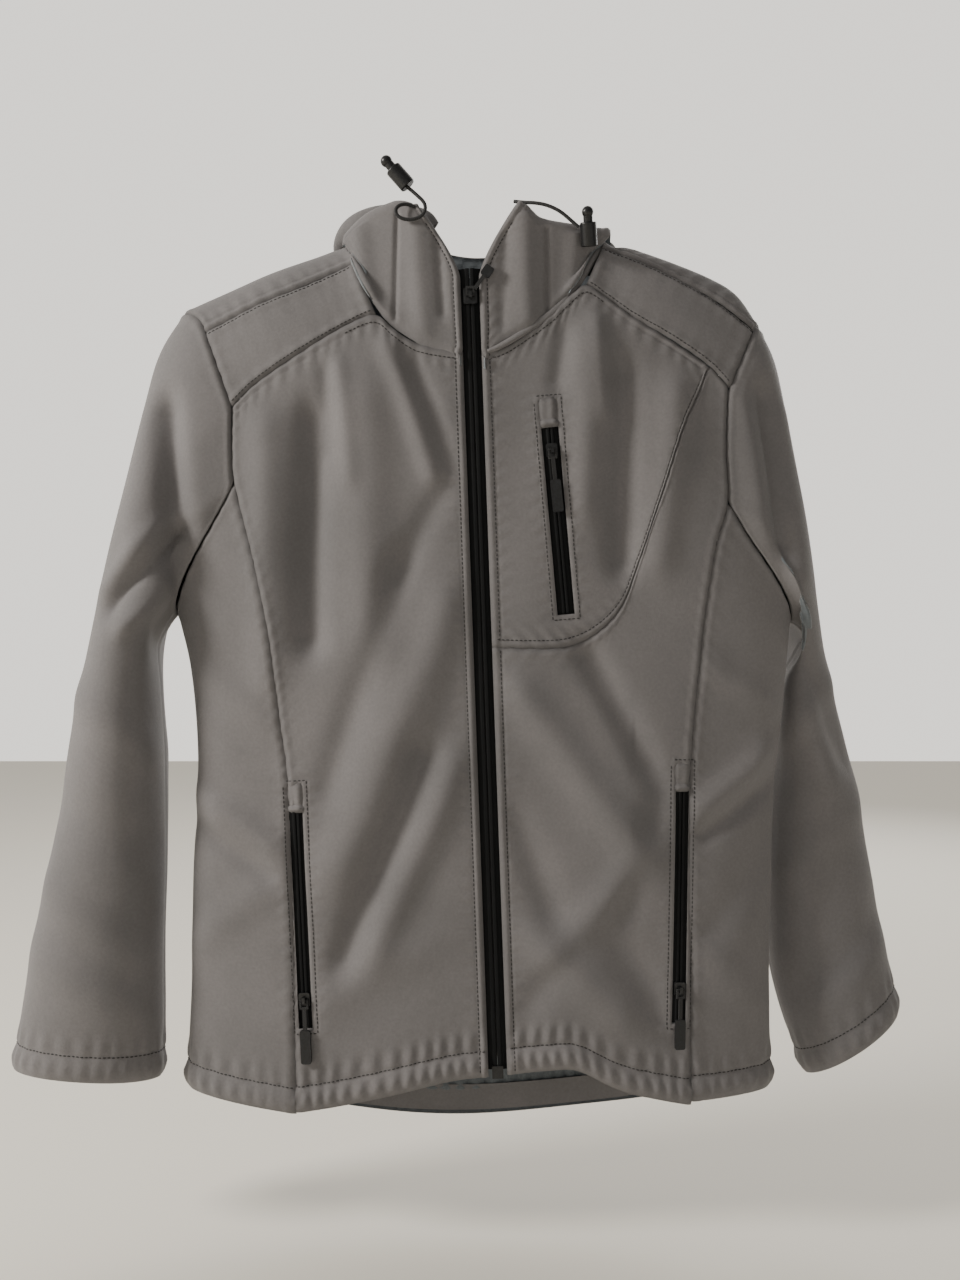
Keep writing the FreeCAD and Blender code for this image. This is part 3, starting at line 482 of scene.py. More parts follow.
def grid_mesh(name, points, normals, run_u, run_v, near):
    """Mesh of one net in metres, wound so its faces look the way the normals do, with the lengths
    along both ways as its UV map."""
    count_u, count_v = points.shape[:2]
    index = np.arange(count_u * count_v).reshape(count_u, count_v)
    faces = np.stack([index[:-1, :-1], index[1:, :-1], index[1:, 1:], index[:-1, 1:]], -1).reshape(-1, 4)
    middle = (count_u // 2, count_v // 2)
    first = np.cross(points[middle[0] + 1, middle[1]] - points[middle],
                     points[middle[0], middle[1] + 1] - points[middle])
    if np.dot(first, normals[middle]) < 0:
        faces = faces[:, ::-1]
    mesh = bpy.data.meshes.new(name)
    mesh.from_pydata((points.reshape(-1, 3) / 1000.0).tolist(), [], faces.tolist())
    mesh.polygons.foreach_set("use_smooth", np.ones(len(faces), bool))
    flat = np.stack([run_u.ravel(), run_v.ravel()], -1) / 1000.0
    uv = mesh.uv_layers.new(name="cloth")
    uv.data.foreach_set("uv", flat[faces.ravel()].ravel())
    corner_edges = np.empty(len(mesh.loops), np.int32)
    mesh.loops.foreach_get("edge_index", corner_edges)
    border = np.bincount(corner_edges, minlength=len(mesh.edges)) == 1
    sharp = mesh.attributes.new("sharp_edge", "BOOLEAN", "EDGE")
    sharp.data.foreach_set("value", border)
    seam = mesh.attributes.new("seam", "FLOAT", "POINT")
    seam.data.foreach_set("value", near.ravel().astype(np.float32))
    mesh.update()
    return mesh


def cut_piece(name, shape, body, replaced=(), outer=None, inner=None, thick=cloth,
              cutters=()):
    """Object for one cut piece: its net given a wall inwards, with the fleece as its inner face."""
    points, normals, run_u, run_v, near = shape[:5]
    mesh = grid_mesh(name, points, normals, run_u, run_v, near)
    mesh.materials.append(outer or softshell)
    mesh.materials.append(inner or fleece)
    piece = add_object(name, mesh)
    wall = piece.modifiers.new("wall", "SOLIDIFY")
    wall.thickness = thick / 1000.0
    wall.offset = -1.0
    wall.material_offset = 1
    if cutters:
        for cutter in cutters:
            opening = piece.modifiers.new("opening", "BOOLEAN")
            opening.operation = "DIFFERENCE"
            opening.solver = "EXACT"
            opening.object = cutter
        bpy.context.view_layer.update()
        done = piece.evaluated_get(bpy.context.evaluated_depsgraph_get())
        final = bpy.data.meshes.new_from_object(done, preserve_all_data_layers=True,
                                                depsgraph=bpy.context.evaluated_depsgraph_get())
        piece.modifiers.clear()
        piece.data = final
        for cutter in cutters:
            bpy.data.objects.remove(cutter)
    if isinstance(body, str):
        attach(piece, body)
    else:
        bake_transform(piece)
    if replaced:
        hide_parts(*replaced)
    return piece


def crossing(edge, side, table, u):
    """Height where the line at share u from the outer edge to the zip meets an outline, by repeated
    substitution."""
    z = np.full(u.shape, -100.0)
    for _ in range(8):
        z = along(table, mix(edge(z), zip_x(z) + side * zip_half, u))
    return z


def front_net(edge, top, hem, side, count_u, count_v):
    """Net of a front: u from its side seam to the zip, v from its top edge down to the hem."""
    u, v = unit_grid(count_u, count_v)
    low = along(hem, mix(edge(np.float64(-700)), zip_x(-650.0) + side * zip_half, u))
    z = mix(crossing(edge, side, top, u), low, v)
    return body_front(mix(edge(z), zip_x(z) + side * zip_half, u), z)


def zip_axes(start, end, across):
    """Unit axes of a zip: across it, inward and up, square to each other."""
    up = (start - end) / np.linalg.norm(start - end)
    inward = np.cross(up, across)
    inward /= np.linalg.norm(inward)
    return np.stack([np.cross(inward, up), inward, up], 0)


def pocket_line(x0, z0, x1, z1, length):
    """Top, bottom and axes of a pocket zip set 2.1 mm behind the face of the front."""
    start = body_front(np.float64(x0), np.float64(z0), 2.1)
    end = body_front(np.float64(x1), np.float64(z1), 2.1)
    end = start + (end - start) / np.linalg.norm(end - start) * length
    middle_x, middle_z = (x0 + x1) / 2, (z0 + z1) / 2
    across = body_front(np.float64(middle_x + 8), np.float64(middle_z)) - body_front(
        np.float64(middle_x - 8), np.float64(middle_z))
    return start, zip_axes(start, end, across / np.linalg.norm(across)), length


chest_line = pocket_line(*pocket_seats[0], 148.0)
right_hand_line = pocket_line(*pocket_seats[1], 171.0)
left_hand_line = pocket_line(*pocket_seats[2], 185.0)


def slot_cutter(line, low, high, top=1.0):
    """Prism through the cloth over the teeth, from top above them to 4 mm below."""
    start, axes, length = line
    corners = np.array([(a, b, c) for a in (low, high) for b in (-16.0, 9.0) for c in (-length - 4.0, top)])
    mesh = bpy.data.meshes.new("slot")
    mesh.from_pydata(((start + corners @ axes) / 1000).tolist(), [],
                     [(0, 1, 3, 2), (4, 6, 7, 5), (0, 4, 5, 1), (2, 3, 7, 6), (0, 2, 6, 4), (1, 5, 7, 3)])
    return add_object("slot", mesh)


def slot_dent(points, line, half):
    """Height that rounds the cloth down over the edge of a pocket's opening, with its row of
    stitching 4 mm outside it."""
    start, axes, length = line
    local = (points - start) @ axes.T
    outside = np.maximum(np.abs(local[..., 0]) - half,
                         np.maximum(local[..., 2] - 21.0, -length - 4.0 - local[..., 2]))
    return (-0.9 * np.exp(-(np.maximum(outside, 0) / 1.4) ** 2) + 0.5 * np.exp(-((outside - 2.2) / 1.5) ** 2)
            - 0.5 * np.exp(-((outside - 4.0) / 0.8) ** 2)
            + 0.35 * np.exp(-((outside - 8.0) / 5.0) ** 2) * ripple(local[..., 2], 12.0))


def right_edge(z):
    return along(right_princess, z)


def left_edge(z):
    return along(left_princess, z)


right_net = front_net(right_edge, right_front_top, right_hem, -1, 100, 262)
right_front = shaped(right_net, (seam_edge, zip_edge, stitched_edge, hem_edge),
                     front_fold(right_net[..., 0], right_net[..., 2]) + slot_dent(right_net, right_hand_line,
                                                                                  hand_slot))
right_front_piece = cut_piece("right_front", right_front, "torso", replaced=["right_front_panel"],
                              cutters=[slot_cutter(right_hand_line, -hand_slot, hand_slot)])

left_net = front_net(left_edge, chest_seam, left_hem, 1, 96, 210)
left_front = shaped(left_net, (seam_edge, zip_edge, seam_edge, hem_edge),
                    front_fold(left_net[..., 0], left_net[..., 2]) + slot_dent(left_net, left_hand_line,
                                                                               hand_slot))
left_front_piece = cut_piece("left_front", left_front, "torso", replaced=["left_front_panel"],
                             cutters=[slot_cutter(left_hand_line, -hand_slot, hand_slot)])


# ---- left chest panel ----------------------------------------------------------------------------
# The upper left front is a cut of its own with the chest pocket in it. Its lower edge is one long
# curve from the armhole round to the zip, sewn and topstitched on the chest side.
def chest_outer(z):
    return np.full(np.shape(z), 188.0)


u, v = unit_grid(100, 120)
chest_top = crossing(chest_outer, 1, left_front_top, u)
chest_low = np.minimum(crossing(chest_outer, 1, chest_seam, u), chest_top - 6.0)
chest_z = mix(chest_top, chest_low, v)
chest_net = body_front(mix(chest_outer(chest_z), zip_x(chest_z) + zip_half, u), chest_z)
left_chest = shaped(chest_net, (seam_edge, zip_edge, stitched_edge, stitched_edge),
                    front_fold(chest_net[..., 0], chest_net[..., 2]) + slot_dent(chest_net, chest_line,
                                                                                 chest_slot))
left_chest_piece = cut_piece("left_chest", left_chest, "torso", replaced=["left_chest_panel"],
                             cutters=[slot_cutter(chest_line, -chest_slot, chest_slot)])


# ---- shoulder yokes ------------------------------------------------------------------------------
# A strip of the same soft shell lies over the front of each shoulder, sewn to the front below it
# and to the back yoke above it, with topstitching along both seams.
right_shoulder_seam = [(-224, -52), (-184, -33), (-152, -20), (-120, -6), (-101, 2)]
left_shoulder_seam = [(103, 17), (126, 8), (161, -8), (193, -25), (228, -50)]


def yoke_net(upper, lower, low_x):
    """u along the shoulder from one end of its seams to the other, v from the upper seam down."""
    u, v = unit_grid(70, 34)
    x_upper = mix(upper[0][0], upper[-1][0], u)
    x_lower = mix(low_x[0], low_x[1], u)
    return body_front(mix(x_upper, x_lower, v), mix(along(upper, x_upper), along(lower, x_lower), v))


yoke_shapes = {}
yoke_nets = {}
for side, upper, lower, low_x in (("right", right_shoulder_seam, right_front_top, (-200, -82)),
                                  ("left", left_shoulder_seam, left_front_top, (88, 205))):
    net = yoke_net(upper, lower, low_x)
    yoke_nets[side] = net
    drape = 0.8 * np.sin(net[..., 0] / 17.0 + net[..., 2] / 29.0)
    yoke_shapes[side] = shaped(net, (seam_edge, seam_edge, seam_edge, seam_edge), drape)
    piece = cut_piece(side + "_yoke", yoke_shapes[side], "torso", replaced=[side + "_shoulder_yoke"])


# ---- side panels ---------------------------------------------------------------------------------
# Each side panel runs from the front's seam round the side to the back's seam, curved down under
# the sleeve at its top and gathered into the hem at its foot.
back_seam = [(-720, 165), (-300, 165), (-235, 176), (-180, 199), (-120, 201)]
back_hem = [(-250, -676), (-170, -700), (-80, -716), (0, -719), (100, -710), (170, -698), (250, -676)]
back_creases = [(-150, -150, -90, -420, 26, 4.0), (150, -150, 95, -400, 26, 4.0),
                (-60, -560, 30, -300, 30, 4.5),
                (90, -600, 40, -420, 22, -3.5), (-120, -640, -60, -500, 20, 3.0),
                (-190, -300, -140, -500, 18, -3.0),
                (190, -320, 150, -520, 18, -3.0)]


def back_fold(x, z):
    return folds(x, z, back_creases) + 1.0 * np.sin(x / 37.0 + z / 53.0)


def side_net(side, armpit, top, count_u, count_v):
    """u from the front seam round the side to the back seam by the angle of the body's squared
    round, v down from the armhole's curve to the hem."""
    u, v = unit_grid(count_u, count_v)
    turn = np.abs(2 * u - 1) ** 1.6
    high = armpit + (top - armpit) * turn
    front_end = along(right_hem if side < 0 else left_hem, np.float64(side * 160))
    back_end = along(back_hem, np.float64(side * 165))
    z = mix(high, mix(np.where(u > 0.5, back_end, front_end), -676.0, 1 - turn), v)
    princess = along(right_princess if side < 0 else left_princess, z)
    half = along(right_half if side < 0 else left_half, z)
    first = np.arccos(np.clip((np.abs(princess) / half) ** 1.3, 0, 1))
    last = -np.arccos(np.clip((along(back_seam, z) / half) ** 1.3, 0, 1))
    angle = mix(first, last, u)
    round_off = np.sin(np.abs(angle)) ** (2 / across_power)
    x = side * half * np.cos(angle) ** (2 / across_power)
    y = mid_y + np.where(angle > 0, -front_depth, back_depth) * round_off
    return np.stack([x, y, z], -1), angle


side_shapes = {}
side_nets = {}
for side, name, armpit, top in ((-1, "right", -281.0, -178.0), (1, "left", -287.0, -194.0)):
    net, angle = side_net(side, armpit, top, 84, 200)
    side_nets[name] = net
    x, z = net[..., 0], net[..., 2]
    height = np.clip(angle / 0.5, 0, 1) * front_fold(x, z) + np.clip(-angle / 0.5, 0, 1) * back_fold(x, z)
    hand = right_hand_line if side < 0 else left_hand_line
    height = height + np.clip(angle / 0.5, 0, 1) * slot_dent(net, hand, hand_slot)
    side_shapes[name] = shaped(net, (seam_edge, seam_edge, seam_edge, hem_edge), height)
    piece = cut_piece(name + "_side", side_shapes[name], "torso", replaced=[name + "_side_panel"],
                      cutters=[slot_cutter(hand, -hand_slot, hand_slot)])


# ---- back panel and back yoke --------------------------------------------------------------------
# The back is one wide cut, longer than the fronts at its hem. The yoke above it is cut in one over
# both shoulders to the seams at their front.
def body_back(x, z, inset=0.0):
    return np.stack([x, mid_y + np.maximum(0.0, back_depth * depth_share(x, z) - inset), z], -1)


u, v = unit_grid(120, 190)
back_z = mix(-120.0, along(back_hem, mix(-165.0, 165.0, u)), v)
back_net = body_back(mix(-1.0, 1.0, u) * along(back_seam, back_z), back_z)
back_shape = shaped(back_net, (seam_edge, seam_edge, stitched_edge, hem_edge),
                    back_fold(back_net[..., 0], back_net[..., 2]))
back_piece = cut_piece("back", back_shape, "torso", replaced=["back_panel"])


def shoulder_net(side, seam, tip):
    """u from the armhole to the neck, v over the shoulder from the front seam (0) across its ridge
    (0.35) to the back seam (1), by the angle of a round of power 3."""
    u, v = unit_grid(60, 96)
    outer_seam = max(abs(seam[0][0]), abs(seam[-1][0]))
    inner_seam = min(abs(seam[0][0]), abs(seam[-1][0]))
    outer = along([(0.0, outer_seam), (0.35, tip), (1.0, 201.0)], v)
    x = side * mix(outer, mix(inner_seam, 104.0, np.minimum(1.0, v / 0.35)), u)
    height = along(shoulder_line, x) - shoulder_foot
    first = np.arccos(np.clip((along(seam, x) - shoulder_foot) / height, 0, 1) ** 1.5)
    last = -np.arccos((30.0 / height) ** 1.5)
    angle = np.where(v < 0.35, first * (1 - v / 0.35), last * (v - 0.35) / 0.65)
    z = shoulder_foot + height * np.cos(angle) ** (2 / 3)
    across = np.maximum(0.0, 1 - (np.abs(x) / half_width(x, z)) ** across_power) ** (1 / across_power)
    swing = np.sin(np.abs(angle)) ** (2 / 3) * np.where(angle > 0, front_depth, back_depth) * across
    return np.stack([x, mid_y + np.where(angle > 0, -swing, swing), z], -1)


shoulder_shapes = {}
shoulder_nets = {}
for side, name, seam, tip in ((-1, "right", right_shoulder_seam, 246.0),
                              (1, "left", left_shoulder_seam, 236.0)):
    net = shoulder_net(side, seam, tip)
    shoulder_nets[name] = net
    shoulder_shapes[name] = shaped(net, (seam_edge, free_edge, stitched_edge, seam_edge),
                                   0.5 * np.sin(net[..., 0] / 15.0), centre=(side * 150.0, mid_y))
    piece = cut_piece(name + "_back_shoulder", shoulder_shapes[name], "torso")

u, v = unit_grid(80, 56)
yoke_centre_net = body_back(mix(-104.0, 104.0, u), mix(12.0, -120.0, v))
yoke_centre = shaped(yoke_centre_net, (free_edge, free_edge, seam_edge, seam_edge))
yoke_piece = cut_piece("back_yoke_centre", yoke_centre, "torso", replaced=["back_yoke"])


# ---- sleeves -------------------------------------------------------------------------------------
# Each sleeve is one tube of soft shell set into the armhole, bent a little at the elbow by its cut
# and hemmed at the cuff.
right_rings = [(-246, -31, -249, -277, 36, -38, 44), (-270, -76, -262, -296, 40, -38, 30),
               (-292, -165, -268, -312, 44, -38, 12), (-318, -275, -266, -345, 46, -38, 0),
               (-334, -355, -262, -400, 45, -38, 0), (-348, -433, -262, -460, 43, -38, 0),
               (-362, -510, -262, -525, 40, -40, 0), (-377, -592, -262, -598, 38, -42, 0),
               (-389, -660, -263, -668, 34, -44, 0)]
left_rings = [(237, -45, 260, -284, 36, -38, -44), (252, -84, 275, -297, 42, -35, -24),
              (272, -172, 272, -312, 45, -19, -8), (292, -271, 262, -345, 46, -2, 0),
              (306, -339, 256, -395, 45, 4, 0), (327, -421, 250, -452, 43, 5, 0),
              (340, -490, 249, -515, 40, 3, 0), (351, -565, 254, -590, 38, -4, 0),
              (363, -622, 280, -676, 34, -12, 0)]
sleeve_creases = [(-256, -120, -240, -250, 12, -13.0), (-284, -120, -276, -230, 14, 3.5),
                  (-282, -292, -226, -236, 8, 6.5), (-296, -276, -240, -220, 7, -7.0),
                  (-300, -262, -252, -206, 8, 3.5), (-330, -350, -268, -398, 16, 3.5),
                  (-352, -440, -276, -470, 20, -3.0), (-372, -560, -292, -600, 18, 3.0),
                  (-366, -500, -280, -560, 16, 2.4), (234, -110, 252, -228, 11, -10.0),
                  (258, -120, 268, -250, 12, 3.0),
                  (244, -292, 292, -420, 15, 4.0), (262, -300, 312, -400, 12, -5.5),
                  (312, -330, 258, -388, 13, 3.0),
                  (330, -440, 262, -500, 17, 3.0), (346, -540, 268, -600, 17, -2.6),
                  (300, -600, 345, -560, 14, 2.4)]
split = 100


def sleeve_net(rings, count_u, count_v):
    """v down the sleeve from armhole to cuff, u round it from its outer line by the front: an oval
    between the outer and inner lines, swollen towards the body at the sleeve head."""
    u, v = unit_grid(count_u, count_v)
    place = v * (len(rings) - 1)
    value = [along([(k, ring[n]) for k, ring in enumerate(rings)], place) for n in range(7)]
    middle = np.stack([(value[0] + value[2]) / 2, (value[1] + value[3]) / 2], -1)
    half = np.stack([value[0], value[1]], -1) - middle
    angle = 2 * np.pi * u
    spot = middle + half * np.cos(angle)[..., None]
    x = spot[..., 0] + value[6] * np.sin(angle) ** 2
    y = value[5] - value[4] * np.sin(angle)
    return np.stack([x, y, spot[..., 1]], -1), angle


def matched(line, points):
    """Points along a line where it has the same share of its drop and of its length as each point
    of another line that runs the same way."""
    shares = []
    for row in (line, points):
        run = running(row)
        drop = (row[:, 2] - row[0, 2]) / (row[-1, 2] - row[0, 2])
        shares.append(np.maximum.accumulate(0.75 * drop + 0.25 * run / run[-1]))
    return np.stack([np.interp(shares[1], shares[0], line[:, k]) for k in range(3)], -1)


def armhole(name, front_edge):
    """Rim of the armhole, round from the shoulder's tip by the front to the armpit and up the back:
    the outer edges of the pieces sewn to it, in turn."""
    shoulder = shoulder_nets[name][0]
    tip = 34  # the row of the shoulder's net on its ridge, just above 0.35
    under = side_nets[name][:, 0]
    low = len(under) // 2
    yoke = yoke_nets[name][0 if name == "right" else -1]
    ahead = np.concatenate([shoulder[tip::-1], yoke, front_edge, under[:low + 1]])
    rear = back_net[0 if name == "right" else -1]
    rear = rear[rear[:, 2] > under[-1, 2]][::-1]
    behind = np.concatenate([under[low:], rear, shoulder[:tip:-1]])
    return ahead, behind


def sleeve_shape(rings, rim):
    """Outer face of a sleeve: folds on its front, weaker ones behind, its seams and its cuff hem.
    Its head is eased into the armhole's rim. The normals point away from the tube's own middle."""
    net, angle = sleeve_net(rings, 121, 2 * split + 1)
    goal = np.concatenate([matched(rim[0], net[:61, 0])[:-1], matched(rim[1], net[60:, 0])])
    head = np.linalg.norm(net - net[:, :1], axis=2)
    net = net + (goal - net[:, 0])[:, None] * np.exp(-(head / 48.0) ** 2)[..., None]
    run_u, run_v = running(net, 0), running(net, 1)
    facing = np.clip(np.sin(angle) * 1.6, 0, 1)
    hold = 1 - np.exp(-(run_v / 12.0) ** 2)
    height = folds(net[..., 0], net[..., 2], sleeve_creases) * (facing + 0.5 * np.clip(-np.sin(angle), 0,
                                                                                       1)) * hold
    height += 0.7 * np.sin(run_v / 27.0 + 2 * angle) * hold
    d = run_v[:, -1:] - run_v
    height += seam_edge(run_v, run_u) + hem_edge(d, run_u) * 0.7
    inner = run_u - along([(0, 0), (1, 1)], 0.5) * run_u[-1:]
    height += -0.9 * np.exp(-(inner / 2.0) ** 2)
    around = np.concatenate([net[-2:-1], net, net[1:2]], 0)
    normal = np.cross(np.gradient(around, axis=0), np.gradient(around, axis=1))[1:-1]
    normal /= np.maximum(np.linalg.norm(normal, axis=2, keepdims=True), 1e-9)
    centre = net[:-1].mean(0, keepdims=True)
    normal *= np.sign(np.sum(normal * (net - centre), -1).sum())
    points = net + normal * height[..., None]
    near = np.maximum(np.exp(-(run_v / 2.4) ** 2), 0.6 * np.exp(-(inner / 2.0) ** 2))
    return points, normal, run_u, run_v, near, net


sleeve_shapes = {}
for name, rings, arm_start, arm_end, bend_start, bend_end in (
        ("right", right_rings, (-0.2567, -0.038, -0.2834), (-0.317, -0.038, -0.334),
         (-0.298, -0.038, -0.3775), (-0.3351, -0.038, -0.4369)),
        ("left", left_rings, (0.260, -0.038, -0.284), (0.312, -0.038, -0.328),
         (0.281, 0.004, -0.367), (0.3332, 0.004, -0.4136))):
    front_edge = (right_net if name == "right" else left_net)[0]
    front_edge = front_edge[front_edge[:, 2] > side_nets[name][0, 0, 2]]
    whole = sleeve_shape(rings, armhole(name, front_edge))
    sleeve_shapes[name] = whole
    upper = [part[:, :split + 1] for part in whole]
    lower = [part[:, split:] for part in whole]
    piece = cut_piece(name + "_sleeve_top", upper, ("torso", name + "_upper_arm", arm_start, arm_end),
                      replaced=[name + "_upper_sleeve"])
    piece = cut_piece(name + "_sleeve_end", lower,
                      (name + "_upper_arm", name + "_forearm", bend_start, bend_end),
                      replaced=[name + "_forearm_sleeve", name + "_cuff_facing"])


# ---- hood ----------------------------------------------------------------------------------------
# The hood's two sides rise from the neckline beside the zip and fold over at the top, with a soft
# roll round each side of the neck. Its back hangs behind the yoke as a bag with two seams, and an
# under cloth joins the bag's foot to the neck seam. It is soft shell with the fleece inside.
right_hood_low = [(-108, 20), (-99, -1), (-91, -20), (-81, -38), (-68, -50), (-53, -60), (-37, -66), (0, -74)]
right_hood_high = [(-112, 18), (-106, 26), (-90, 37), (-66, 44), (-50, 46), (-38, 43), (-20, 30)]
left_hood_low = [(0, -74), (20, -69), (41, -56), (60, -42), (73, -29), (83, -14), (95, 12), (105, 22)]
left_hood_high = [(14, 34), (26, 42), (36, 46), (46, 40), (56, 31), (65, 28), (96, 26), (110, 27)]
hood_creases = [(-67, -45, -65, 40, 2.0, -2.2), (-90, -20, -96, 24, 9, 3.5), (-44, -50, -50, 36, 10, 3.5),
                (-28, -40, -32, 24, 4, -2.2), (57, -38, 56, 28, 2.0, -2.6), (40, -44, 38, 30, 10, 4.0),
                (20, -50, 22, 20, 5, -1.8), (76, -16, 80, 20, 8, 2.5)]


def hood_net(side, low, high, top_start):
    """Side of the hood: u from the zip's edge outward, v from under the neckline up to the fold, over
    it by a half round of 1.5 mm at the zip and 8 mm further out, and down behind."""
    u, v = np.meshgrid(np.linspace(0, 1, 70), np.linspace(-0.12, 1.6, 90), indexing="ij")
    rise = np.clip(v, -0.12, 1.0)
    x_low = mix(zip_x(-70.0) + side * 7.5, low[0][0] if side < 0 else low[-1][0], u)
    x_high = mix(top_start, high[0][0] if side < 0 else high[-1][0], u)
    z = mix(along(low, x_low), along(high, x_high), rise)
    x = mix(x_low, x_high, rise)
    spread = np.maximum(0.0, z + 13.0) / 47.0
    edge = zip_x(z) + side * (7.5 + 24.0 * spread ** 1.3)
    x = x + (1 - u) ** 2 * (edge - mix(x_low, top_start, rise))
    y = mid_y - np.sqrt(np.maximum(0.0, 1 - (x / 128.0) ** 2)) * 48.0
    seat = body_front(x, np.minimum(z, along(shoulder_line, x) - 4.0), 1.2)[..., 1]
    y = mix(y, np.minimum(y, seat), np.exp(-(np.maximum(rise, 0) / 0.16) ** 2))
    y = y + 1.3 * np.clip(-rise / 0.10, 0, 1)
    x = x + side * 3.5 * np.clip(-rise / 0.04, 0, 1) * (1 - u) ** 6
    turn = np.clip((v - 1.0) / 0.3, 0, 1) * np.pi
    down = np.clip((v - 1.3) / 0.3, 0, 1) * 30.0
    radius = mix(1.5, 8.0, np.clip(u / 0.35, 0, 1))
    return np.stack([x, y + radius * (1 - np.cos(turn)), z + radius * np.sin(turn) - down], -1)


hood_shapes = {}
for side, name, low, high, start in ((-1, "right", right_hood_low, right_hood_high, -38.0),
                                     (1, "left", left_hood_low, left_hood_high, 33.0)):
    net = hood_net(side, low, high, start)
    ahead = np.clip((110 - np.arange(90)) / 60.0, 0, 1)[None, :] * (np.arange(90) < 58)[None, :]
    hood_shapes[name] = shaped(net, (zip_edge, seam_edge, free_edge, free_edge),
                               folds(net[..., 0], net[..., 2], hood_creases) * ahead,
                               centre=(side * 20.0, 0.0))
    piece = cut_piece(name + "_hood", hood_shapes[name], "torso", replaced=[name + "_hood_panel"])


def rolled(name, path, radii, body):
    """Soft roll of folded cloth: an oval of the given half height and half depth carried along a
    smooth path, closed at both ends, with shallow creases along it."""
    knots = np.arange(len(path))
    t = np.linspace(0, len(path) - 1, 70)
    line = np.stack([along(list(zip(knots, [q[k] for q in path])), t) for k in range(3)], -1)
    size = along(list(zip(knots, radii)), t)
    angle = np.linspace(0, 2 * np.pi, 33)
    inward = np.array([0.0, 1.0, 0.0])
    out = unit(np.cross(unit(np.gradient(line, axis=0)), inward))
    size = size[:, None] * (1 + 0.05 * np.sin(3 * angle + t[:, None] * 0.9))
    points = (line[:, None] + out[:, None] * (size * np.cos(angle))[..., None]
              + inward * (size * 0.8 * np.sin(angle))[..., None])
    index = np.arange(70 * 32).reshape(70, 32)
    after = np.roll(index, -1, axis=1)
    faces = np.stack([index[:-1], after[:-1], after[1:], index[1:]], -1).reshape(-1, 4).tolist()
    faces += [index[0, ::-1].tolist(), index[-1].tolist()]
    mesh = bpy.data.meshes.new(name)
    mesh.from_pydata((points[:, :-1].reshape(-1, 3) / 1000).tolist(), [], faces)
    if sum(p.normal.dot(p.center - Vector(line.mean(0) / 1000)) * p.area for p in mesh.polygons) < 0:
        mesh.flip_normals()
    mesh.polygons.foreach_set("use_smooth", np.ones(len(mesh.polygons), bool))
    mesh.uv_layers.new(name="cloth")
    mesh.materials.append(softshell)
    piece = add_object(name, mesh)
    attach(piece, body)
    return piece


rolled("right_hood_fold", [(-34, -50, 40), (-44, -50, 46), (-62, -48, 48), (-86, -44, 46), (-104, -36, 40),
                           (-113, -22, 31), (-110, -4, 24), (-98, 12, 22), (-84, 20, 18)],
       [3, 7, 10, 11, 11, 10, 9, 8, 5], "torso")
rolled("left_hood_fold", [(88, -52, 22), (102, -42, 24), (110, -28, 25), (110, -8, 22), (98, 10, 20),
                          (84, 20, 16)],
       [3, 6, 8, 8, 7, 5], "torso")
rolled("left_neck_piping", [(104, -58, 20), (96, -66, 10), (85, -74, -10), (74, -78, -27), (60, -81, -41),
                            (41, -83.5, -55), (20, -85, -68), (8, -85.5, -73)],
       [2.2, 2.8, 2.8, 2.8, 2.7, 2.6, 2.4, 1.5],
       "torso")

u, v = unit_grid(110, 110)
half = along([(0.0, 92), (0.35, 112), (0.7, 104), (0.9, 78), (1.0, 50)], v)
angle = np.pi * u
hood_z = mix(46.0, -176.0, v) + ((10 + 12 * v) * np.sin(angle) - 16.0 * np.sin(angle) ** 6) * (1 - v)
depth = along([(0.0, 26), (0.3, 38), (0.7, 32), (1.0, 14)], v)
bag_net = np.stack([-half * np.cos(angle), 14.0 + depth * np.sin(angle) ** 0.8, hood_z], -1)
panel_seams = -1.3 * np.exp(-((u - 0.34) / 0.010) ** 2) - 1.3 * np.exp(-((u - 0.66) / 0.010) ** 2)
sag = (2.6 * np.sin(hood_z / 19.0 + 3.0 * np.cos(angle)) * np.sin(np.pi * v) ** 0.7
       + 1.6 * np.sin(hood_z / 11.0 - 5.0 * u) * np.sin(np.pi * v))
hood_bag = shaped(bag_net, (seam_edge, seam_edge, stitched_edge, stitched_edge), panel_seams + sag - 1.5)
bag_piece = cut_piece("hood_bag", hood_bag, ("torso", "hood", (0, 0.013, 0.052), (0, 0.030, 0.015)),
                      replaced=["hood_back"])

# the under cloth rises from the bag's foot to the seam at the back of the neck
half = along([(0.0, 50), (0.12, 76), (0.35, 92), (1.0, 97)], v)
under_x = -half * np.cos(angle)
under_z = mix(-176.0, 13.0, v)
under_y = mix(14.0 + 14.0 * np.sin(angle) ** 0.8, body_back(under_x, under_z)[..., 1] + 3.0,
              np.clip(v / 0.12, 0, 1))
hood_under = shaped(np.stack([under_x, under_y, under_z], -1), (seam_edge, seam_edge, seam_edge, seam_edge),
                    0.4 * sag,
                    centre=(0.0, 400.0))
under_piece = cut_piece("hood_under", hood_under, ("torso", "hood", (0, 0.008, 0.012), (0, 0.009, -0.080)))


# ---- topstitching --------------------------------------------------------------------------------
# Lockstitch in grey polyester thread, about 3 mm a stitch, sunk in its own groove along the seams.
# Each stitch is a short round-ended bead of thread.
def thread_material():
    made, tree, shader, place = new_material("spun polyester thread")
    twist = add_node(tree, "ShaderNodeTexNoise", {"Vector": place.outputs["Object"], "Scale": 700.0})
    # the thread's own dark grey, made darker still as painted shade of the stitch holes and grooves
    two_tones(tree, shader, twist.outputs["Fac"], "#252424", "#3b3939")
    shader.inputs["Roughness"].default_value = 0.6
    return made


thread = thread_material()


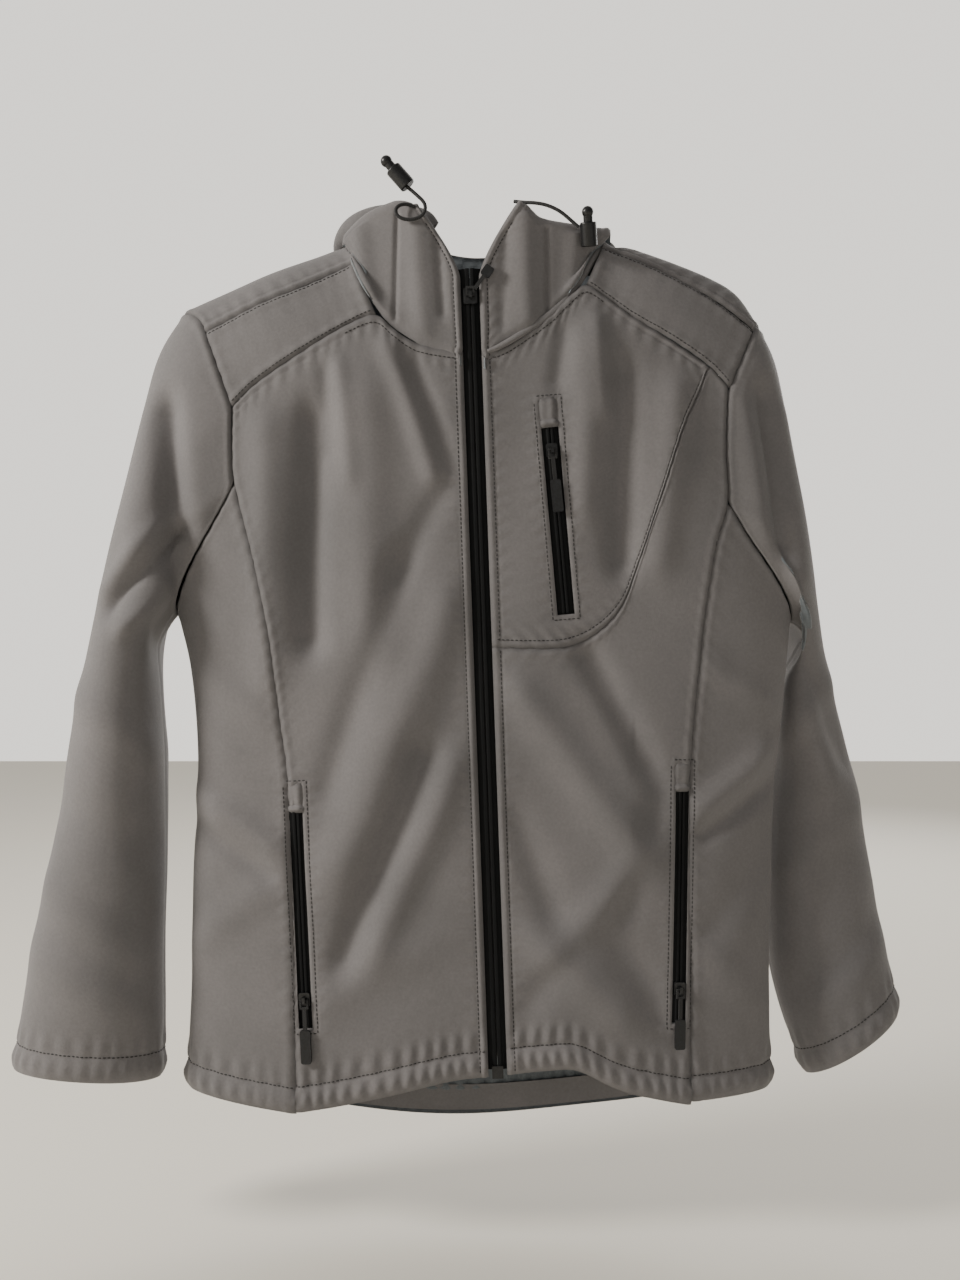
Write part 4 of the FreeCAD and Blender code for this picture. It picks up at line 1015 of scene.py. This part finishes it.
def row_at(shape, edge, away, low=0.0, high=1.0):
    """Points and normals of the line that lies a given distance in from one edge of a cut piece,
    between two shares of that edge."""
    points, normals, run_u, run_v = shape[:4]
    reach = (run_u, run_u[-1:] - run_u, run_v, run_v[:, -1:] - run_v)[edge]
    axis = 0 if edge < 2 else 1
    if edge % 2:
        reach, points, normals = (np.flip(a, axis) for a in (reach, points, normals))
    k = np.clip((reach < away).sum(axis) - 1, 0, reach.shape[axis] - 2)
    pick = np.expand_dims(k, axis)
    near_d = np.take_along_axis(reach, pick, axis)
    far_d = np.take_along_axis(reach, pick + 1, axis)
    f = np.clip((away - near_d) / np.maximum(far_d - near_d, 1e-6), 0, 1)[..., None]
    found = []
    for a in (points, normals):
        one = np.take_along_axis(a, pick[..., None], axis)
        two = np.take_along_axis(a, pick[..., None] + 1, axis)
        found.append(np.squeeze(one + (two - one) * f, axis))
    count = len(found[0])
    part = slice(int(low * count), max(int(high * count), 2))
    return found[0][part], found[1][part]


def stitch_beads(rows, pitch=3.6, length=2.5, thick=0.46):
    """Every stitch of several rows as a six-sided bead of four rings along its row."""
    centres, ways, outs = [], [], []
    for points, normals in rows:
        run = running(points)
        spots = np.arange(pitch, run[-1] - pitch, pitch)
        at = np.stack([np.interp(spots, run, points[:, k]) for k in range(3)], -1)
        ahead = np.stack([np.interp(spots + 0.5, run, points[:, k]) for k in range(3)], -1)
        out = np.stack([np.interp(spots, run, normals[:, k]) for k in range(3)], -1)
        way = ahead - at
        centres.append(at + out * 0.10)
        ways.append(unit(way))
        outs.append(unit(out))
    at, way, out = (np.concatenate(a) for a in (centres, ways, outs))
    side = np.cross(way, out)
    place = np.repeat([-0.5, -0.3, 0.3, 0.5], 6) * length
    radius = np.repeat([0.35, 1.0, 1.0, 0.35], 6) * thick
    angle = np.tile(np.arange(6) * np.pi / 3, 4)
    points = (at[:, None] + way[:, None] * place[None, :, None]
              + out[:, None] * (radius * np.cos(angle))[None, :, None]
              + side[:, None] * (radius * np.sin(angle))[None, :, None])
    ring = np.arange(6)
    quads = np.concatenate([np.stack([r * 6 + ring, r * 6 + (ring + 1) % 6, r * 6 + 6 + (ring + 1) % 6,
                                      r * 6 + 6 + ring], -1) for r in range(3)])
    first = np.arange(len(at))[:, None, None] * 24
    sides = (quads[None] + first).reshape(-1, 4)
    ends = (np.array([ring[::-1], 18 + ring])[None] + first).reshape(-1, 6)
    return points.reshape(-1, 3), sides, ends


def stitching(name, rows, body):
    points, sides, ends = stitch_beads(rows)
    mesh = bpy.data.meshes.new(name)
    mesh.from_pydata((points / 1000).tolist(), [], sides.tolist() + ends.tolist())
    if mesh.polygons[0].normal.dot(mesh.polygons[0].center - Vector(points[:24].mean(0) / 1000)) < 0:
        mesh.flip_normals()
    mesh.polygons.foreach_set("use_smooth", np.ones(len(mesh.polygons), bool))
    mesh.materials.append(thread)
    piece = add_object(name, mesh)
    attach(piece, body)
    return piece


def on_cloth(shapes, x, z):
    """Points and normals of the finished cloth at places of the front, weighed from the nearest
    points of its nets."""
    points = np.concatenate([shape[0].reshape(-1, 3) for shape in shapes])
    normals = np.concatenate([shape[1].reshape(-1, 3) for shape in shapes])
    ahead = points[:, 1] < mid_y
    points, normals = points[ahead], normals[ahead]
    gap = (points[None, :, 0] - x[:, None]) ** 2 + (points[None, :, 2] - z[:, None]) ** 2
    near = np.argpartition(gap, 4, axis=1)[:, :4]
    weight = 1.0 / (np.take_along_axis(gap, near, 1) + 0.05)
    weight /= weight.sum(1, keepdims=True)
    found = (points[near] * weight[..., None]).sum(1)
    normal = (normals[near] * weight[..., None]).sum(1)
    return np.stack([x, found[:, 1], z], -1), unit(normal)


def slot_rows(shapes, line, half):
    """Row of stitching that runs round a pocket's opening, 4 mm outside it, and across under its
    garage."""
    start, axes, length = line
    corners = np.array([(-half - 4, 25), (half + 4, 25), (half + 4, -length - 8), (-half - 4, -length - 8),
                        (-half - 4, 25)], float)
    run = running(corners)
    spots = np.arange(0, run[-1], 1.6)
    a = np.interp(spots, run, corners[:, 0])
    c = np.interp(spots, run, corners[:, 1])
    place = start + a[:, None] * axes[0] + c[:, None] * axes[2]
    return on_cloth(shapes, place[:, 0], place[:, 2])


stitching("front_stitching",
          [row_at(right_front, 1, stitch_in), row_at(right_front, 2, stitch_in, 0.48, 1.0),
           row_at(right_front, 3, hem_stitch_in),
           row_at(left_front, 1, stitch_in), row_at(left_front, 3, hem_stitch_in),
           row_at(left_chest, 1, stitch_in),
           row_at(left_chest, 2, stitch_in, 0.45, 1.0), row_at(left_chest, 3, stitch_in, 0.04, 1.0),
           row_at(yoke_shapes["right"], 2, 3.0), row_at(yoke_shapes["right"], 3, 3.0),
           row_at(yoke_shapes["left"], 2, 3.0), row_at(yoke_shapes["left"], 3, 3.0),
           row_at(hood_shapes["right"], 0, stitch_in, 0.05, 0.6),
           row_at(hood_shapes["left"], 0, stitch_in, 0.05, 0.6)], "torso")
stitching("pocket_stitching",
          [slot_rows([left_chest], chest_line, chest_slot),
           slot_rows([right_front, side_shapes["right"]], right_hand_line, hand_slot),
           slot_rows([left_front, side_shapes["left"]], left_hand_line, hand_slot)], "torso")
stitching("back_stitching",
          [row_at(back_shape, 2, stitch_in), row_at(back_shape, 3, hem_stitch_in),
           row_at(side_shapes["right"], 3, hem_stitch_in),
           row_at(side_shapes["left"], 3, hem_stitch_in)], "torso")
for name in ("right", "left"):
    stitching(name + "_cuff_stitching", [row_at(sleeve_shapes[name], 3, hem_stitch_in)], name + "_forearm")


# ---- zips ----------------------------------------------------------------------------------------
# Black reverse-coil zips: a polyester tape turned over a nylon coil, so a flat woven band faces out
# on each side of a fine slit. The tape is matt twill; the coil behind it is slightly glossy nylon.
def tape_material():
    made, tree, shader, place = new_material("woven zip tape")
    # the twill's ribs lie 0.8 mm apart
    twill = add_node(tree, "ShaderNodeTexWave",
                     {"Vector": place.outputs["UV"], "Scale": 390.0, "Distortion": 0.4},
                     bands_direction="DIAGONAL")
    fluff = add_node(tree, "ShaderNodeTexNoise",
                     {"Vector": place.outputs["Object"], "Scale": 160.0, "Detail": 4.0})
    two_tones(tree, shader, fluff.outputs["Fac"], "#07080a", "#101214")
    bump_and_rough(tree, shader, twill.outputs["Fac"], 0.5, 0.0003, 0.78)
    shader.inputs["Specular IOR Level"].default_value = 0.25
    return made


def nylon_material():
    made, tree, shader, place = new_material("extruded nylon")
    streak = add_node(tree, "ShaderNodeTexNoise", {"Vector": place.outputs["Object"], "Scale": 300.0})
    rough = add_node(tree, "ShaderNodeMapRange",
                     {"Value": streak.outputs["Fac"], "To Min": 0.28, "To Max": 0.45})
    tree.links.new(rough.outputs[0], shader.inputs["Roughness"])
    shader.inputs["Base Color"].default_value = linear("#121315")
    return made


tape_cloth = tape_material()
nylon = nylon_material()
main_start = np.array([-6.2, -82.9, -20.0])
main_way = np.array([0.0356, 0.0, -1.0]) / math.hypot(0.0356, 1.0)
main_line = (main_start, zip_axes(main_start, main_start + main_way * 628.0, np.array([1.0, 0.0, 0.0])),
             628.0)


def tape_pair(name, line, teeth, wide, above, below, replaced, body="torso"):
    """Both tapes: a flat strip that rises over the coil by a smooth step and is faintly ribbed there."""
    start, axes, length = line
    count = int(length / 1.6)
    across = np.concatenate([np.linspace(0.25, teeth / 2 + 1.6, 12), np.linspace(teeth / 2 + 2.6, wide, 6)])
    down = np.linspace(above, -length - below, count)
    a, c = np.meshgrid(across, down, indexing="ij")
    step = np.clip((teeth / 2 + 1.3 - a) / 1.3, 0, 1)
    step = step * step * (3 - 2 * step)
    lip = np.clip((a - 0.25) / 0.6, 0, 1)
    b = (-1.32 * step * (0.55 + 0.45 * lip) - 0.10 * step * np.sin(2 * np.pi * c / 3.4)
         + 0.35 * np.maximum(0.0, a - 5.0))
    pieces = []
    for side, label in ((-1, "right"), (1, "left")):
        net = start + (side * a)[..., None] * axes[0] + b[..., None] * axes[1] + c[..., None] * axes[2]
        normal = outward(net, (0.0, 200.0))
        level = start + (side * a)[..., None] * axes[0] + c[..., None] * axes[2]
        shape = (net, normal, a - a[:1], down[0] - c, 0.0 * a, level)
        pieces.append(cut_piece(name + "_tape_" + label, shape, body,
                                replaced if side < 0 else (),
                                tape_cloth, tape_cloth, 0.5))
    return pieces


def coil_pair(name, line, teeth, replaced):
    """Nylon coil of both sides: an oval bar whose size swells and shrinks once each 1.5 mm turn."""
    start, axes, length = line
    c = np.linspace(0.0, -length, int(length / 0.5))
    angle = np.arange(8) * np.pi / 4
    swell = 1 + 0.14 * np.sin(2 * np.pi * c / 1.5)
    meshes, faces, first = [], [], 0
    for side in (-1, 1):
        a = side * (teeth / 4 + 0.15) + (teeth / 4 - 0.2) * np.cos(angle)[None] * swell[:, None]
        b = 0.15 + 0.95 * np.sin(angle)[None] * swell[:, None]
        points = start + a[..., None] * axes[0] + b[..., None] * axes[1] + c[:, None, None] * axes[2]
        meshes.append(points.reshape(-1, 3))
        index = np.arange(len(c) * 8).reshape(-1, 8) + first
        after = np.roll(index, -1, axis=1)
        faces += np.stack([index[:-1], after[:-1], after[1:], index[1:]], -1).reshape(-1, 4).tolist()
        faces += [index[0, ::-1].tolist(), index[-1].tolist()]
        first += index.size
    mesh = bpy.data.meshes.new(name + "_coil")
    mesh.from_pydata((np.concatenate(meshes) / 1000).tolist(), [], faces)
    one = mesh.polygons[0]
    if one.normal.dot(one.center - Vector(meshes[0][:8].mean(0) / 1000)) < 0:
        mesh.flip_normals()
    mesh.polygons.foreach_set("use_smooth", np.ones(len(mesh.polygons), bool))
    mesh.materials.append(nylon)
    piece = add_object(name + "_coil_turns", mesh)
    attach(piece, "torso")
    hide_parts(*replaced)


tape_pair("front_zip", main_line, 6.0, 14.0, 14.0, 3.0, ["main_zip_tape_right", "main_zip_tape_left"])
coil_pair("main_zip", main_line, 6.0, ["main_zip_teeth_right", "main_zip_teeth_left"])
for name, line in (("chest_zip", chest_line), ("right_hand_zip", right_hand_line),
                   ("left_hand_zip", left_hand_line)):
    tape_pair(name, line, 4.4, 10.6, 6.0, 3.0, [name + "_tape"])
    coil_pair(name, line, 4.4, [name + "_coil"])


# ---- zip garages ---------------------------------------------------------------------------------
# A folded tab of soft shell covers the top of each pocket zip, sewn down along both sides.
for name, shapes, line, low, high in (
        ("chest_pocket", [left_chest], chest_line, -7.5, 7.5),
        ("right_hand_pocket", [right_front, side_shapes["right"]], right_hand_line, -6.4, 6.4),
        ("left_hand_pocket", [left_front, side_shapes["left"]], left_hand_line, -6.4, 6.4)):
    a, c = np.meshgrid(np.linspace(low, high, 22), np.linspace(23.0, -1.0, 30), indexing="ij")
    start, axes, length = line
    place = start + a[..., None] * axes[0] + c[..., None] * axes[2]
    ground, normal = on_cloth(shapes, place[..., 0].ravel(), place[..., 2].ravel())
    # the tab lies level across the opening, so its height is that of the cloth at its two sides
    level = ground.reshape(22, 30, 3)
    sides = mix(level[:1, :, 1], level[-1:, :, 1], np.linspace(0, 1, 22)[:, None])
    level[..., 1] = sides.mean(1, keepdims=True) * 0.5 + sides * 0.5 - 1.0
    tab = shaped(level, (seam_edge, seam_edge, seam_edge, zip_edge), centre=(0.0, 200.0))
    piece = cut_piece(name + "_tab", tab, "torso", [name + "_garage"])


# ---- inside pieces -------------------------------------------------------------------------------
# Behind the fronts hang the pocket bags of knitted mesh and the wind flap behind the main zip. The
# soft shell is turned up inside the hem, and a satin label and the hang loop sit at the neck.
def mesh_material():
    made, tree, shader, place = new_material("knitted pocket mesh")
    # the knit's holes lie 2 mm apart
    holes = add_node(tree, "ShaderNodeTexVoronoi", {"Vector": place.outputs["UV"], "Scale": 500.0})
    two_tones(tree, shader, holes.outputs["Distance"], "#101113", "#34373a")
    bump_and_rough(tree, shader, holes.outputs["Distance"], 0.8, 0.0006, 0.8)
    return made


pocket_mesh = mesh_material()
for name, low, high, top, bottom in (("chest_pocket", 24, 166, -104, -302),
                                     ("right_hand_pocket", -160, -26, -410, -628),
                                     ("left_hand_pocket", 54, 182, -392, -612)):
    u, v = unit_grid(40, 56)
    net = body_front(mix(low, high, u), mix(top, bottom, v), 9.5)
    bag = shaped(net, (free_edge,) * 4, 0.6 * np.sin(net[..., 0] / 9.0 + net[..., 2] / 17.0))
    piece = cut_piece(name + "_lining", bag, "torso", [name + "_bag"], pocket_mesh,
                      pocket_mesh, 1.6)

a, c = np.meshgrid(np.linspace(-22, 18, 20), np.linspace(2, -622, 200), indexing="ij")
net = (main_start + a[..., None] * main_line[1][0] + (4.3 + 0.5 * np.sin(c / 21.0))[...,
                                                                                    None] * main_line[1][1]
       + c[..., None] * main_line[1][2])
flap = shaped(net, (seam_edge, seam_edge, seam_edge, seam_edge), centre=(0.0, 200.0))
cut_piece("wind_flap", flap, "torso", ["storm_flap"], softshell, fleece)

# each facing lies over the last rows of its panel's net, clear of both side seams
for name, net, low, high, rows in (("right_front", right_net, 12, 90, 12),
                                   ("left_front", left_net, 12, 84, 12),
                                   ("back", back_net, 4, 116, 9)):
    part = net[low:high, -rows:-1]
    inward = outward(part, (0.0, mid_y)) * -1.9
    band = shaped(part + inward, (free_edge,) * 4)
    piece = cut_piece(name + "_facing", band, "torso", ["hem_facing"], softshell, softshell, 0.8)


def satin_material():
    made, tree, shader, place = new_material("woven satin ribbon")
    ribs = add_node(tree, "ShaderNodeTexWave", {"Vector": place.outputs["UV"], "Scale": 600.0},
                    bands_direction="X")
    bump_and_rough(tree, shader, ribs.outputs["Fac"], 0.4, 0.0002)
    shader.inputs["Base Color"].default_value = linear("#17181a")
    shader.inputs["Roughness"].default_value = 0.42
    return made


satin = satin_material()
u, v = unit_grid(60, 8)
bow = np.clip(np.minimum(u, 1 - u) / 0.10, 0, 1)
net = np.stack([mix(-22.0, 22.0, u), 2.3 - 7.6 * bow * bow * (3 - 2 * bow), mix(3.0, -3.0, v)], -1)
strap = shaped(net, (free_edge,) * 4, centre=(0.0, 200.0))
cut_piece("hanging_strap", strap, "torso", ["hang_loop"], satin, satin, 1.1)
net = np.stack([mix(-20.0, 20.0, u), 1.4 + 0.3 * np.sin(u * 9.0), mix(-14.0, -38.0, v)], -1)
blank = shaped(net, (free_edge,) * 4, centre=(0.0, 200.0))
cut_piece("blank_label", blank, "torso", ["neck_label"], satin, satin, 0.5)


# ---- sliders, pulls and cord locks ---------------------------------------------------------------
# Die-cast sliders with baked black enamel; moulded rubber grips on flat braid; cord locks moulded in
# black acetal, smooth with a faint mould grain; steel springs.
def hard_material(name, dark, light, rough, metal, scale, depth):
    made, tree, shader, place = new_material(name)
    grain = add_node(tree, "ShaderNodeTexNoise",
                     {"Vector": place.outputs["Object"], "Scale": scale, "Detail": 4.0})
    two_tones(tree, shader, grain.outputs["Fac"], dark, light, 0.35, 0.75)
    ramp = add_node(tree, "ShaderNodeMapRange", {"Value": grain.outputs["Fac"], "To Min": rough - 0.08,
                                                 "To Max": rough + 0.10})
    tree.links.new(ramp.outputs[0], shader.inputs["Roughness"])
    bump_and_rough(tree, shader, grain.outputs["Fac"], 0.3, depth)
    shader.inputs["Metallic"].default_value = metal
    return made


enamel = hard_material("baked enamel on die-cast zinc", "#0c0d0e", "#2a2b2d", 0.34, 0.0, 260.0, 0.0002)
rubber = hard_material("moulded soft rubber", "#101113", "#222427", 0.55, 0.0, 500.0, 0.0002)
acetal = hard_material("moulded acetal", "#0e0f10", "#1d1e20", 0.36, 0.0, 700.0, 0.0001)
steel = hard_material("drawn spring steel", "#8b8e90", "#b9bcbe", 0.30, 1.0, 400.0, 0.0001)


def finish_node(name, material):
    held = nodes[name].material_slots
    if not held:
        nodes[name].data.materials.append(material)
    for one in nodes[name].material_slots:
        one.material = material


for name in ("main_zip", "chest_zip", "right_hand_zip", "left_hand_zip"):
    finish_node(name + "_slider", enamel)
    finish_node(name + "_pull", braid)
    finish_node(name + "_grip", rubber)
finish_node("main_zip_box", enamel)
for name in ("right_lock", "left_lock"):
    finish_node(name + "_barrel", acetal)
    finish_node(name + "_plunger", acetal)
finish_node("lock_springs", steel)
